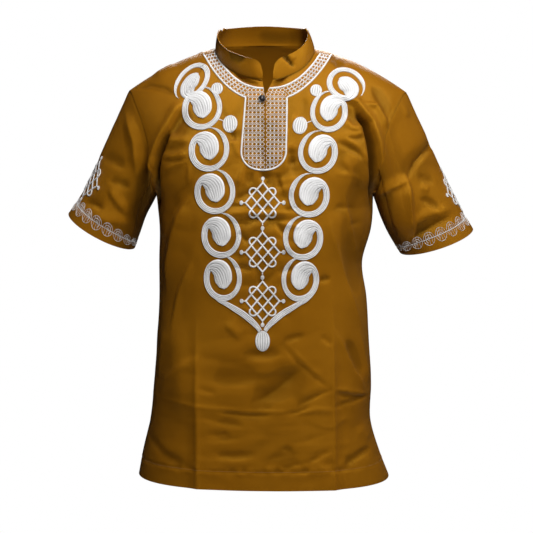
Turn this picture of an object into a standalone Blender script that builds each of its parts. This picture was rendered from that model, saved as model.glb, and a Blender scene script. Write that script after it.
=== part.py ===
"""Short-sleeved dashiki shirt with a standing collar and raised embroidery, filled out as when worn.

Metres, +Z up. The front faces -Y. The origin is the middle of the neck base, at the height of the
points where the shoulder seams meet the collar.
"""

import math

import bmesh
import bpy
import numpy as np
from mathutils import Vector
from mathutils.bvhtree import BVHTree
from mathutils.geometry import delaunay_2d_cdt

# Driving dimensions, in metres
WALL = 0.0015
SEAM_GAP = 0.0005
HEM_DEPTH = 0.030
HEM_WALL_IN = 0.0018
CUFF_HEM_DEPTH = 0.020
ARMPIT_Z = -0.245
SECTION_POWER = 2.4
NECK_HALF_WIDTH = 0.083
NECK_FRONT_DROP = 0.060
NECK_BACK_RISE = 0.010
NECK_POWER = 2.0
SHOULDER_SLOPE = 0.26
SHOULDER_CURVE = 1.5
SHOULDER_HALF_WIDTH = {-1: 0.230, 1: 0.238}
ARMHOLE_SWELL = 0.6
SLIT_END_Z = -0.195
SLIT_V_Z = -0.084
SLIT_TOP_X = {-1: -0.0040, 1: 0.0135}
SLIT_X = {-1: -0.0003, 1: 0.0003}
COLLAR_HEIGHT = 0.034
COLLAR_LEAN_IN = 0.014
COLLAR_CORNER = 0.016
BUTTON_RADIUS = 0.0056
BUTTON_AT = (-0.0052, -0.0915)
LOOP_CORD_RADIUS = 0.0008

# Embroidery: how far it clears the cloth below it, and how thick it is
CLEAR = 0.00055
STITCH = 0.0009
LINE_WIDTH = 0.0030
SEAT_REACH = 0.006

# Columns of the panels, as angles round each section from the centre line to the side seam
COLUMN_ANGLES = (0, 5, 9.5, 13.5, 16.65, 24, 32, 40, 48, 56, 64, 72, 81, 90)
NECK_COLUMN = 4
UPPER_ROWS = 12
LOWER_ROWS = 13
SLEEVE_ROWS = 8
COLLAR_ROWS = 3

# Level sections of the body: height, half-widths to each side, depths to the front and back
BODY_SECTIONS = [
    dict(z=-0.245, left=0.1836, right=0.1836, front=0.130, back=0.134),
    dict(z=-0.300, left=0.1785, right=0.1790, front=0.132, back=0.130),
    dict(z=-0.357, left=0.1800, right=0.1640, front=0.128, back=0.122),
    dict(z=-0.420, left=0.1800, right=0.1715, front=0.124, back=0.116),
    dict(z=-0.490, left=0.1830, right=0.1755, front=0.124, back=0.118),
    dict(z=-0.560, left=0.1885, right=0.1800, front=0.127, back=0.124),
    dict(z=-0.630, left=0.1960, right=0.1790, front=0.131, back=0.131),
    dict(z=-0.680, left=0.2075, right=0.1935, front=0.136, back=0.136),
    dict(z=-0.722, left=0.2155, right=0.2105, front=0.139, back=0.140),
]

# Armhole edge of a panel: how far up the armhole, and the share of the way out to the shoulder tip
ARMHOLE_EDGE = [
    dict(up=0.0, out=0.00),
    dict(up=0.1, out=0.05),
    dict(up=0.25, out=0.14),
    dict(up=0.4, out=0.36),
    dict(up=0.6, out=0.66),
    dict(up=0.8, out=0.86),
    dict(up=1.0, out=1.00),
]

# Soft folds: a ridge (+) or trough (-) along a line on the front or back panel
FOLDS = [
    dict(face=-1, x0=0.165, z0=-0.160, x1=0.128, z1=-0.350, width=0.015, depth=-0.0080),
    dict(face=-1, x0=0.118, z0=-0.330, x1=0.158, z1=-0.560, width=0.016, depth=0.0065),
    dict(face=-1, x0=0.164, z0=-0.340, x1=0.110, z1=-0.430, width=0.016, depth=-0.0055),
    dict(face=-1, x0=-0.168, z0=-0.150, x1=-0.140, z1=-0.330, width=0.015, depth=-0.0080),
    dict(face=-1, x0=-0.160, z0=-0.420, x1=-0.120, z1=-0.640, width=0.022, depth=0.0055),
    dict(face=-1, x0=0.108, z0=-0.560, x1=0.118, z1=-0.722, width=0.016, depth=0.0060),
    dict(face=-1, x0=-0.105, z0=-0.600, x1=-0.112, z1=-0.722, width=0.016, depth=0.0060),
    dict(face=1, x0=-0.150, z0=-0.180, x1=-0.090, z1=-0.330, width=0.018, depth=-0.0065),
    dict(face=1, x0=0.150, z0=-0.180, x1=0.090, z1=-0.330, width=0.018, depth=-0.0065),
    dict(face=1, x0=0.060, z0=-0.420, x1=0.085, z1=-0.722, width=0.022, depth=0.0060),
    dict(face=1, x0=-0.070, z0=-0.420, x1=-0.100, z1=-0.722, width=0.022, depth=0.0060),
]

# Cuffs: the outer and inner ends of the opening, seen from the front
CUFFS = {
    -1: dict(outer=(-0.336, -0.272), inner=(-0.2235, -0.333)),
    1: dict(outer=(0.353, -0.308), inner=(0.2315, -0.345)),
}
CUFF_HALF_DEPTH = 0.055
CUFF_BACK = 0.012
CUFF_TILT_DEG = 12
SLEEVE_HOLLOW = 0.010

# One scroll: stations along its ribbon, with the outer and inner edge each as an angle clockwise
# from straight up (left-hand scroll) and a radius from the scroll's centre
SCROLL_STATIONS = [
    dict(outer_deg=-6, outer=0.0340, inner_deg=-3, inner=0.0326),
    dict(outer_deg=30, outer=0.0315, inner_deg=22, inner=0.0260),
    dict(outer_deg=70, outer=0.0315, inner_deg=60, inner=0.0230),
    dict(outer_deg=110, outer=0.0325, inner_deg=105, inner=0.0245),
    dict(outer_deg=150, outer=0.0345, inner_deg=148, inner=0.0265),
    dict(outer_deg=190, outer=0.0370, inner_deg=188, inner=0.0265),
    dict(outer_deg=230, outer=0.0355, inner_deg=228, inner=0.0250),
    dict(outer_deg=265, outer=0.0330, inner_deg=262, inner=0.0240),
    dict(outer_deg=295, outer=0.0325, inner_deg=284, inner=0.0235),
    dict(outer_deg=325, outer=0.0290, inner_deg=294, inner=0.0200),
    dict(outer_deg=350, outer=0.0260, inner_deg=290, inner=0.0155),
    dict(outer_deg=385, outer=0.0205, inner_deg=270, inner=0.0145),
    dict(outer_deg=420, outer=0.0175, inner_deg=245, inner=0.0145),
    dict(outer_deg=460, outer=0.0157, inner_deg=218, inner=0.0150),
    dict(outer_deg=500, outer=0.0160, inner_deg=196, inner=0.0162),
    dict(outer_deg=535, outer=0.0178, inner_deg=183, inner=0.0166),
]

# Scroll centres: distance out from the embroidery's axis, height, turn and size
EMBROIDERY_AXIS_X = -0.0022
SCROLLS = [
    dict(out=0.1240, z=-0.0555, turn_deg=95, wide=0.80, tall=0.66),
    dict(out=0.1035, z=-0.1050, turn_deg=0, wide=1.0, tall=1.0),
    dict(out=0.0870, z=-0.1720, turn_deg=0, wide=1.0, tall=1.0),
    dict(out=0.0765, z=-0.2415, turn_deg=0, wide=1.0, tall=1.0),
    dict(out=0.0650, z=-0.3105, turn_deg=0, wide=1.0, tall=1.0),
    dict(out=0.0615, z=-0.3755, turn_deg=0, wide=1.0, tall=0.96),
]
BAND_INNER = dict(half_width=0.0945, drop=0.0715, power=2.5)
BAND_OUTER = dict(half_width=0.1130, drop=0.0940, power=2.37)
BAND_INNER_END = {-1: 0.0035, 1: 0.0135}
BIB_TOP = -0.0910
BIB_TOP_HALF = 0.0345
BIB_HALF = 0.0365
BIB_SIDE_END = -0.176
BIB_BOTTOM = -0.206
KNOT_CENTRES_Z = (-0.258, -0.337, -0.416)
KNOT_HALF_WIDTH = 0.0270
KNOT_HALF_HEIGHT = 0.0318
KNOT_LINE = 0.0027
BUD_OUT = 0.0078
BUD_RADIUS = 0.0035
KNOT_STEM = 0.0036
KNOT_LOOP_OUT = 0.0018
KNOT_LOOP_TURN = 3.5
# Where each sleeve's knot sits: how far round from the outer line, and how far down the sleeve
SLEEVE_KNOTS = {-1: dict(toward_front_deg=22, down=0.52), 1: dict(toward_front_deg=6, down=0.48)}
TAIL_STATIONS = [
    dict(out=0.0800, z=-0.4110, width=0.0020),
    dict(out=0.0640, z=-0.4190, width=0.0080),
    dict(out=0.0480, z=-0.4270, width=0.0100),
    dict(out=0.0330, z=-0.4390, width=0.0110),
    dict(out=0.0190, z=-0.4530, width=0.0110),
    dict(out=0.0105, z=-0.4655, width=0.0085),
]
DOT = dict(out=0.0800, z=-0.0715, radius=0.0098)
OVAL = dict(out=0.0555, z=-0.1300, half_width=0.0118, half_height=0.0136)
DROP = dict(z=-0.479, half_width=0.0120, half_height=0.0160)


def lerp(a, b, t):
    return a + (b - a) * t


def smooth_column(rows, key, column, at):
    """The value of a table's column at a place, along a smooth curve through its rows."""
    xs = np.array([row[key] for row in rows], float)
    ys = np.array([row[column] for row in rows], float)
    if xs[0] > xs[-1]:
        xs, ys = xs[::-1], ys[::-1]
    slopes = np.gradient(ys, xs)
    i = int(np.clip(np.searchsorted(xs, at) - 1, 0, len(xs) - 2))
    step = xs[i + 1] - xs[i]
    t = min(max((at - xs[i]) / step, 0.0), 1.0)
    h = (2 * t**3 - 3 * t**2 + 1, t**3 - 2 * t**2 + t, -2 * t**3 + 3 * t**2, t**3 - t**2)
    return h[0] * ys[i] + h[1] * step * slopes[i] + h[2] * ys[i + 1] + h[3] * step * slopes[i + 1]


def unit(v):
    return v / np.maximum(np.linalg.norm(v, axis=-1, keepdims=True), 1e-12)


def make_material(name, colour, roughness, metallic=0.0):
    material = bpy.data.materials.new(name)
    material.use_nodes = True
    shader = material.node_tree.nodes["Principled BSDF"]
    shader.inputs["Base Color"].default_value = (*colour, 1.0)
    shader.inputs["Roughness"].default_value = roughness
    shader.inputs["Metallic"].default_value = metallic
    return material


def add_object(name, points, faces, material):
    mesh = bpy.data.meshes.new(name)
    mesh.from_pydata([tuple(map(float, p)) for p in points], [], [tuple(map(int, f)) for f in faces])
    mesh.validate()
    mesh.materials.append(material)
    mesh.shade_smooth()
    mesh.set_sharp_from_angle(angle=math.radians(50))
    obj = bpy.data.objects.new(name, mesh)
    bpy.context.scene.collection.objects.link(obj)
    return obj


def vertex_normals(points, faces):
    """Area-weighted normals of a sheet given as triangles."""
    corners = points[faces]
    face_normals = np.cross(corners[:, 1] - corners[:, 0], corners[:, 2] - corners[:, 0])
    normals = np.zeros_like(points)
    for corner in range(3):
        np.add.at(normals, faces[:, corner], face_normals)
    return unit(normals)


def grid_faces(index):
    """Triangles of a grid of vertex numbers, rows by columns."""
    faces = []
    for r in range(index.shape[0] - 1):
        for c in range(index.shape[1] - 1):
            a, b, d, e = index[r, c], index[r, c + 1], index[r + 1, c + 1], index[r + 1, c]
            faces.append((a, b, d))
            faces.append((a, d, e))
    return faces


def shell_object(name, points, faces, directions, out, inward, material):
    """A closed wall round a sheet: one skin outside it, one inside, and walls along its open edges."""
    points = np.asarray(points, float)
    faces = np.asarray(faces, int)
    count = len(points)
    out = np.broadcast_to(out, (count,))[:, None]
    inward = np.broadcast_to(inward, (count,))[:, None]
    solid_points = np.concatenate([points + directions * out, points - directions * inward])
    solid_faces = [tuple(f) for f in faces] + [tuple(f[::-1] + count) for f in faces]
    edges = {}
    for f in faces:
        for a, b in ((f[0], f[1]), (f[1], f[2]), (f[2], f[0])):
            edges[(a, b)] = edges.get((a, b), 0) + 1
    for a, b in edges:
        if (b, a) not in edges:
            solid_faces.append((b, a, a + count))
            solid_faces.append((b, a + count, b + count))
    return add_object(name, solid_points, solid_faces, material)


def half_width(z, side):
    return smooth_column(BODY_SECTIONS, "z", "left" if side < 0 else "right", z)


def depth(z, face):
    return smooth_column(BODY_SECTIONS, "z", "front" if face < 0 else "back", z)


def shoulder_height(x):
    beyond = abs(x) - NECK_HALF_WIDTH
    if beyond <= 0:
        return 0.0
    return -SHOULDER_SLOPE * beyond - SHOULDER_CURVE * beyond**2


def neck_height(x, face):
    across = min(abs(x) / NECK_HALF_WIDTH, 1.0)
    drop = (1 - across**NECK_POWER) ** (1 / NECK_POWER)
    return -NECK_FRONT_DROP * drop if face < 0 else NECK_BACK_RISE * drop


def fold_depth(x, z, face):
    """How far the folds push the cloth out of its smooth form."""
    total = 0.0
    for fold in FOLDS:
        if fold["face"] != face:
            continue
        start = np.array([fold["x0"], fold["z0"]])
        run = np.array([fold["x1"], fold["z1"]]) - start
        along = float(np.dot(np.array([x, z]) - start, run) / np.dot(run, run))
        nearest = start + run * min(max(along, 0.0), 1.0)
        away = math.hypot(x - nearest[0], z - nearest[1])
        beyond = max(0.0, -along, along - 1) * math.hypot(*run)
        fade = math.exp(-((beyond / fold["width"]) ** 2))
        total += fold["depth"] * fade * math.exp(-((away / fold["width"]) ** 2))
    return total


def body_point(x, z, side, face):
    """A point of the smooth body at a place seen from the front or back."""
    if z <= ARMPIT_Z:
        reach, lift = half_width(z, side), 1.0
        deep = depth(z, face)
    else:
        top = max(shoulder_height(x), 0.006 if abs(x) < NECK_HALF_WIDTH else -1.0)
        if face > 0 and abs(x) < NECK_HALF_WIDTH:
            top = 0.030
        top = lerp(shoulder_height(x), top, 1 - min(abs(x) / NECK_HALF_WIDTH, 1.0) ** 4)
        up = min((z - ARMPIT_Z) / (top - ARMPIT_Z), 1.0)
        lift = math.sqrt(max(1 - up**2, 0.0))
        swell = min((z - ARMPIT_Z) / 0.175, 1.0) ** ARMHOLE_SWELL
        reach = lerp(half_width(ARMPIT_Z, side), SHOULDER_HALF_WIDTH[side] + 0.012, swell)
        deep = depth(ARMPIT_Z, face)
    inside = max(1 - min(abs(x) / reach, 1.0) ** SECTION_POWER, 0.0)
    return face * deep * inside ** (1 / SECTION_POWER) * lift


def slit_x(z, side):
    """The slit's edge on one side: closed up to the button, then opening to the neck."""
    opened = min(max((z - SLIT_V_Z) / (-NECK_FRONT_DROP - SLIT_V_Z), 0.0), 1.0)
    return lerp(SLIT_X[side], SLIT_TOP_X[side], opened)


def panel_rows():
    """Rows from the hem up: ('low', height) below the armpits and ('up', share) above them."""
    hem = BODY_SECTIONS[-1]["z"]
    rows = [("low", hem), ("low", hem + HEM_DEPTH), ("low", hem + HEM_DEPTH + 0.0012)]
    start = hem + HEM_DEPTH + 0.0012
    for k in range(1, LOWER_ROWS):
        rows.append(("low", lerp(start, ARMPIT_Z, k / (LOWER_ROWS - 1))))
    for k in range(1, UPPER_ROWS + 1):
        rows.append(("up", k / UPPER_ROWS))
    return rows


def panel_point(row, angle, side, face):
    """The smooth body at a row and a column of a panel."""
    across = math.sin(math.radians(angle)) ** (2 / SECTION_POWER)
    kind, value = row
    if kind == "low":
        z = value
        x = side * across * half_width(z, side)
    else:
        out = smooth_column(ARMHOLE_EDGE, "up", "out", value)
        edge = lerp(half_width(ARMPIT_Z, side), SHOULDER_HALF_WIDTH[side], out)
        neck_share = math.sin(math.radians(COLUMN_ANGLES[NECK_COLUMN])) ** (2 / SECTION_POWER)
        neck_now = lerp(neck_share * edge, NECK_HALF_WIDTH, value**2)
        if across <= neck_share:
            x = side * across / neck_share * neck_now
        else:
            x = side * lerp(neck_now, edge, (across - neck_share) / (1 - neck_share))
        top = neck_height(x, face) if angle < COLUMN_ANGLES[NECK_COLUMN] - 0.01 else shoulder_height(x)
        z = lerp(ARMPIT_Z, top, math.sin(value * math.pi / 2))
    if angle == 90 and (kind == "low" or value == 1.0):
        return np.array([x, 0.0, z])
    y = body_point(x, z, side, face)
    if kind == "up" and value == 1.0 and angle > COLUMN_ANGLES[NECK_COLUMN] - 0.01:
        y = 0.0
    return np.array([x, y, z])


def fold_panel(points, faces, face, pinned):
    """Pushes the folds into a panel, fading out at its seams."""
    normals = vertex_normals(points, faces)
    for i, p in enumerate(points):
        points[i] += normals[i] * fold_depth(p[0], p[2], face) * (1 - pinned[i])
    return points


def build_panel(face):
    """The sheet of the front (-1) or back (+1) panel, with the rows and columns that its seams need."""
    rows = panel_rows()
    last = len(COLUMN_ANGLES) - 1
    columns = [(-1, k) for k in range(last, -1, -1)] + [(1, k) for k in range(last + 1)]
    centre = last
    points, pinned, keys = [], [], {}
    index = np.zeros((len(rows), len(columns)), int)
    for r, row in enumerate(rows):
        for c, (side, k) in enumerate(columns):
            p = panel_point(row, COLUMN_ANGLES[k], side, face)
            split = face < 0 and p[2] > SLIT_END_Z
            if k == 0 and split:
                p[0] = slit_x(p[2], side)
                p[1] = body_point(p[0], p[2], side, face)
            key = (r, c) if k or split else (r, centre)
            if key not in keys:
                keys[key] = len(points)
                points.append(p)
                near_side = max(0.0, (COLUMN_ANGLES[k] - 64) / 26)
                pinned.append(min(1.0, near_side) if row[0] == "low" else (k / last) ** 6)
            index[r, c] = keys[key]
    faces = []
    for block in (index[:, : centre + 1], index[:, centre + 1 :]):
        faces += grid_faces(block)
    faces = np.array(faces)
    if face > 0:
        faces = faces[:, ::-1]
    points = fold_panel(np.array(points), faces, face, pinned)
    points[:, 1] += face * SEAM_GAP / 2
    return dict(points=points, faces=faces, index=index, rows=rows, normals=vertex_normals(points, faces))


def armhole_ring(front, back, side):
    """The armhole's edge from the underarm up the front and down the back, without the two seam gaps."""
    column = 0 if side < 0 else -1
    first = sum(1 for row in front["rows"] if row[0] == "low") - 1
    up = front["index"][first:, column]
    down = back["index"][first:, column][::-1]
    points = np.concatenate([front["points"][up], back["points"][down[1:-1]]])
    normals = np.concatenate([front["normals"][up], back["normals"][down[1:-1]]])
    points[0, 1] = points[len(up) - 1, 1] = 0.0
    for corner, other in ((0, down[-1]), (len(up) - 1, down[0])):
        normals[corner] = unit(normals[corner] + back["normals"][other])
        normals[corner][1] = 0.0
    return points, unit(normals), up, down


def sleeve_target(side, count, ring_up):
    """The cuff's rim, point for point with the armhole's edge."""
    cuff = CUFFS[side]
    outer = np.array([cuff["outer"][0], CUFF_BACK, cuff["outer"][1]])
    inner = np.array([cuff["inner"][0], CUFF_BACK, cuff["inner"][1]])
    across = unit(outer - inner)
    down = np.array([across[2], 0.0, -across[0]]) * side
    tilt = math.radians(CUFF_TILT_DEG)
    forward = np.array([0.0, -1.0, 0.0]) * math.cos(tilt) + down * math.sin(tilt)
    half = np.linalg.norm(outer - inner) / 2
    rim = []
    for k in range(count):
        share = k / (ring_up - 1) if k < ring_up else 1 + (k - ring_up + 1) / (count - ring_up + 1)
        angle = math.pi * (1 - share)
        spot = (outer + inner) / 2 + across * half * math.cos(angle)
        rim.append(spot + forward * CUFF_HALF_DEPTH * math.sin(angle))
    return np.array(rim), down


def seam_frame(points, normals_a, normals_b, into_b, closed):
    """At each point of a seam: the shared wall direction, and the way across the seam into piece b."""
    if closed:
        along = np.roll(points, -1, axis=0) - np.roll(points, 1, axis=0)
    else:
        along = np.gradient(points, axis=0)
    along = unit(along)
    wall = normals_a + normals_b
    wall = unit(wall - along * np.sum(wall * along, axis=1, keepdims=True))
    across = unit(np.cross(along, wall))
    across *= np.sign(np.sum(across * into_b, axis=1, keepdims=True))
    return wall, across


def build_sleeve(front, back, side):
    ring, ring_normals, up, down = armhole_ring(front, back, side)
    count = len(ring)
    rim, axis = sleeve_target(side, count, len(up))
    rows = [k / SLEEVE_ROWS for k in range(SLEEVE_ROWS)]
    length = np.linalg.norm(rim - ring, axis=1).mean()
    rows[-1] = 1 - (CUFF_HEM_DEPTH + 0.0012) / length
    rows += [1 - CUFF_HEM_DEPTH / length, 1.0]
    middle = (rim.max(axis=0) + rim.min(axis=0)) / 2
    sheets = []
    for s in rows:
        layer = lerp(ring, rim, s)
        centre = lerp(ring.mean(axis=0), middle, s)
        outward = layer - centre
        outward -= axis * np.dot(outward, axis)[:, None]
        outer_side = np.clip(np.sum(unit(outward) * unit(rim[len(up) - 1] - rim[0]), axis=1), 0, 1)
        hollow = SLEEVE_HOLLOW * math.sin(math.pi * s**1.8) * outer_side[:, None]
        sheets.append(layer - unit(outward) * hollow)
    sheets = np.array(sheets)
    index = np.arange(sheets.shape[0] * count).reshape(sheets.shape[0], count)
    index = np.concatenate([index, index[:, :1]], axis=1)
    points = sheets.reshape(-1, 3)
    faces = np.array(grid_faces(index))
    if side > 0:
        faces = faces[:, ::-1]
    normals = vertex_normals(points, faces)
    into_sleeve = points[count : 2 * count] - points[:count]
    wall, across = seam_frame(points[:count], ring_normals, normals[:count], into_sleeve, True)
    points[:count] += across * SEAM_GAP
    normals[:count] = wall
    inward = np.full(len(points), WALL / 2)
    inward[-2 * count :] = HEM_WALL_IN
    sheet = dict(points=points, faces=faces, normals=normals, inward=inward)
    return sheet | dict(wall=wall, up=up, down=down, rim=rim)


def neckline(front, back):
    """The neck edge, from the slit's right side round the back to its left side."""
    top = front["index"][-1]
    last = len(COLUMN_ANGLES) - 1
    right = [top[last + 1 + k] for k in range(0, NECK_COLUMN + 1)]
    left = [top[last - k] for k in range(NECK_COLUMN, -1, -1)]
    behind = back["index"][-1]
    around = [behind[last + 1 + k] for k in range(NECK_COLUMN - 1, 0, -1)]
    around += [behind[last - k] for k in range(0, NECK_COLUMN)]
    points = np.concatenate([front["points"][right], back["points"][around], front["points"][left]])
    normals = np.concatenate([front["normals"][right], back["normals"][around], front["normals"][left]])
    return points, normals, right, around, left


def densify(points, normals, times):
    """More points along a line, on the straight runs between its own, so that both edges match."""
    steps = [i / times for i in range((len(points) - 1) * times + 1)]
    fine = [line_at(points, place) for place in steps]
    fine_normals = [line_at(normals, place) for place in steps]
    return np.array(fine), unit(np.array(fine_normals))


def build_collar(front, back):
    base, base_normals, right, around, left = neckline(front, back)
    base, base_normals = densify(base, base_normals, 4)
    run = np.concatenate([[0], np.cumsum(np.linalg.norm(np.diff(base, axis=0), axis=1))])
    to_end = np.minimum(run, run[-1] - run)
    axis_y = (base[:, 1].max() + base[:, 1].min()) / 2
    inward = unit(np.stack([-base[:, 0], axis_y - base[:, 1], 0 * base[:, 0]], axis=1))
    frontness = np.clip(-(base[:, 1]) / abs(base[:, 1].min()), 0, 1)[:, None]
    up = np.array([0.0, 0.0, 1.0]) + inward * lerp(COLLAR_LEAN_IN / COLLAR_HEIGHT, 0.10, frontness)
    up = unit(up)
    closing = np.clip(1 - to_end / COLLAR_CORNER, 0, 1)
    height = COLLAR_HEIGHT * lerp(0.42, 1.0, np.sqrt(1 - closing**2))
    layers = [base + up * (height * k / COLLAR_ROWS)[:, None] for k in range(COLLAR_ROWS + 1)]
    count = len(base)
    points = np.concatenate(layers)
    index = np.arange(len(points)).reshape(len(layers), count)
    faces = np.array(grid_faces(index))
    normals = vertex_normals(points, faces)
    wall, across = seam_frame(base, base_normals, normals[:count], up, False)
    points[:count] += across * SEAM_GAP
    normals[:count] = wall
    return dict(points=points, faces=faces, normals=normals, wall=wall, groups=(right, around, left))


def drape(flat, surface, frame):
    """Flat points (across, up) laid on a surface along a frame's view direction: places and normals."""
    origin, across, upward, view = frame
    places, normals = [], []
    for a, u in flat:
        start = origin + across * a + upward * u
        hit, normal, _, _ = surface.ray_cast(Vector(start), Vector(view))
        if hit is None:
            hit, normal, _, _ = surface.find_nearest(Vector(start))
        places.append(hit)
        normals.append(normal)
    return np.array(places), np.array(normals)


def raised_object(name, flat, faces, surface, frame, material):
    """A closed raised shape on a surface: its faces point away from the cloth."""
    places, normals = drape(flat, surface, frame)
    base = seat(places + normals * CLEAR, faces, normals, surface)
    return shell_object(name, base, faces, normals, STITCH, 0.0, material)


def seat(points, faces, normals, surface):
    """Lifts the corners of a sheet where its triangles would come too near the cloth between them."""
    shares = [(a / 4, b / 4, 1 - (a + b) / 4) for a in range(5) for b in range(5 - a)]
    for _ in range(5):
        lift = np.zeros(len(points))
        for face in faces:
            for share in shares:
                spot = sum(w * points[i] for w, i in zip(share, face))
                out = unit(sum(w * normals[i] for w, i in zip(share, face)))
                hit, _, _, away = surface.ray_cast(Vector(spot + out * SEAT_REACH), Vector(-out))
                if hit is None:
                    continue
                short = CLEAR * 0.6 - (away - SEAT_REACH)
                if short > 0:
                    lift[face] = np.maximum(lift[face], short)
        points = points + normals * lift[:, None]
    return points


def ribbon(edge_a, edge_b, columns):
    """Flat points and faces of a ribbon between two edges."""
    stations = len(edge_a)
    rows = [[lerp(a, b, c / columns) for c in range(columns + 1)] for a, b in zip(edge_a, edge_b)]
    flat = np.array(rows).reshape(-1, 2)
    index = np.arange(len(flat)).reshape(stations, columns + 1)
    return flat, facing_up(flat, np.array(grid_faces(index)))


def facing_up(flat, faces):
    """Turns a flat sheet of triangles so that they run anticlockwise."""
    a, b, c = flat[faces[:, 0]], flat[faces[:, 1]], flat[faces[:, 2]]
    turn = (b[:, 0] - a[:, 0]) * (c[:, 1] - a[:, 1]) - (b[:, 1] - a[:, 1]) * (c[:, 0] - a[:, 0])
    return faces[:, ::-1] if turn.sum() < 0 else faces


def scroll_edges(scroll, side):
    """The outer and inner edge of a scroll, as flat points."""
    edges = []
    for name in ("outer", "inner"):
        line = []
        for station in SCROLL_STATIONS:
            angle = math.radians(station[name + "_deg"] - scroll["turn_deg"])
            x = -side * station[name] * math.sin(angle) * scroll["wide"]
            z = station[name] * math.cos(angle) * scroll["tall"]
            centre_x = EMBROIDERY_AXIS_X + side * scroll["out"]
            line.append((centre_x + x, scroll["z"] + z))
        edges.append(np.array(line))
    return edges


def clear_of_previous(edges, previous, side):
    """Shortens a ribbon's thin start until it clears the scroll above by the seam gap."""
    above = scroll_edges(previous, side)[0]
    cut = 0.0
    for start in np.linspace(0, 2, 81):
        spots = [line_at(edge, start) for edge in edges]
        spots.append((spots[0] + spots[1]) / 2)
        if any(inside_line(p, above) or distance_to_line(p, above) < 0.0008 for p in spots):
            cut = start + 0.05
    kept = [edge[int(cut + 0.3) + 1 :] for edge in edges]
    return [np.concatenate([[line_at(edge, cut)], rest]) for edge, rest in zip(edges, kept)]


def line_at(line, place):
    """The point of a line of points at a place counted in points."""
    first = min(int(place), len(line) - 2)
    return lerp(line[first], line[first + 1], place - first)


def inside_line(point, line):
    """Whether a point is inside a closed line, by counting the edges to its right."""
    inside = False
    for a, b in zip(line, np.roll(line, -1, axis=0)):
        if (a[1] > point[1]) != (b[1] > point[1]):
            if point[0] < a[0] + (point[1] - a[1]) / (b[1] - a[1]) * (b[0] - a[0]):
                inside = not inside
    return inside


def distance_to_line(point, line):
    best = 1e9
    for a, b in zip(line[:-1], line[1:]):
        run = b - a
        t = min(max(np.dot(point - a, run) / max(np.dot(run, run), 1e-12), 0.0), 1.0)
        best = min(best, float(np.linalg.norm(point - a - run * t)))
    return best


def strip(points, width):
    """The two edges of a line of even width."""
    points = np.array(points, float)
    along = unit(np.gradient(points, axis=0))
    side = np.stack([-along[:, 1], along[:, 0]], axis=1) * width / 2
    return points + side, points - side


def oval(centre, wide, tall, sides):
    """A polygon round an oval of these half sizes."""
    turns = [2 * math.pi * k / sides for k in range(sides)]
    return [(centre[0] + wide * math.sin(t), centre[1] + tall * math.cos(t)) for t in turns]


def union_of(polygons):
    """Flat points and triangles of the union of some polygons."""
    points, rings = [], []
    for polygon in polygons:
        area = sum(a[0] * b[1] - b[0] * a[1] for a, b in zip(polygon, polygon[1:] + polygon[:1]))
        polygon = polygon if area > 0 else polygon[::-1]
        rings.append(list(range(len(points), len(points) + len(polygon))))
        points += [Vector(p) for p in polygon]
    out_points, _, out_faces, _, _, origin = delaunay_2d_cdt(points, [], rings, 0, 1e-7)
    faces = [f for f, source in zip(out_faces, origin) if source]
    used = sorted({i for f in faces for i in f})
    number = {old: new for new, old in enumerate(used)}
    flat = np.array([tuple(out_points[i]) for i in used])
    return flat, facing_up(flat, np.array([[number[i] for i in f] for f in faces]))


def thread_polygon(line, share=1.0):
    """A line of knot thread as one polygon."""
    left, right = strip(line, KNOT_LINE * share)
    return [tuple(p) for p in left] + [tuple(p) for p in right[::-1]]


def knot_polygons(centre, wide, tall, below="bud"):
    """A lattice knot: a lozenge cut in thirds, a round loop outside each side, and buds at its points."""
    cx, cz = centre
    corners = [np.array([cx + wide * a, cz + tall * b]) for a, b in ((0, 1), (1, 0), (0, -1), (-1, 0))]
    polygons = []
    for k in range(4):
        a, b = corners[k], corners[(k + 1) % 4]
        polygons.append(thread_polygon([a, b]))
        middle = (a + b) / 2
        outward = unit(np.array([(middle[0] - cx) / wide, (middle[1] - cz) / tall]))
        loop_centre = middle + outward * KNOT_LOOP_OUT
        radius = math.hypot(np.linalg.norm(b - a) / 6, KNOT_LOOP_OUT)
        start = math.atan2(outward[1], outward[0])
        turns = [start + KNOT_LOOP_TURN * (j / 6 - 0.5) for j in range(7)]
        arc = [loop_centre + radius * np.array([math.cos(t), math.sin(t)]) for t in turns]
        polygons.append(thread_polygon(arc))
    top, right, bottom, left = corners
    for share in (1 / 3, 2 / 3):
        polygons.append(thread_polygon([lerp(top, right, share), lerp(left, bottom, share)]))
        polygons.append(thread_polygon([lerp(top, left, share), lerp(right, bottom, share)]))
    for corner in corners:
        outward = unit(corner - np.array([cx, cz]))
        if corner is corners[2] and below == "stem":
            polygons.append(thread_polygon([corner, corner + outward * KNOT_STEM], 0.7))
            continue
        bud = corner + outward * BUD_OUT
        polygons.append(thread_polygon([corner, bud], 0.7))
        polygons.append(oval(tuple(bud), BUD_RADIUS, BUD_RADIUS, 7))
    return polygons


def band_height(x, line):
    """The height of one of the neck band's two lines at a distance from the axis."""
    return -line["drop"] * (1 - (x / line["half_width"]) ** line["power"])


def neck_line(side):
    """The neck band's inner line, beside the collar, from the shoulder to the slit."""
    steps = [lerp(0.0895, BAND_INNER_END[side], k / 11) for k in range(12)]
    return [(EMBROIDERY_AXIS_X + side * x, band_height(x, BAND_INNER)) for x in steps]


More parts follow.
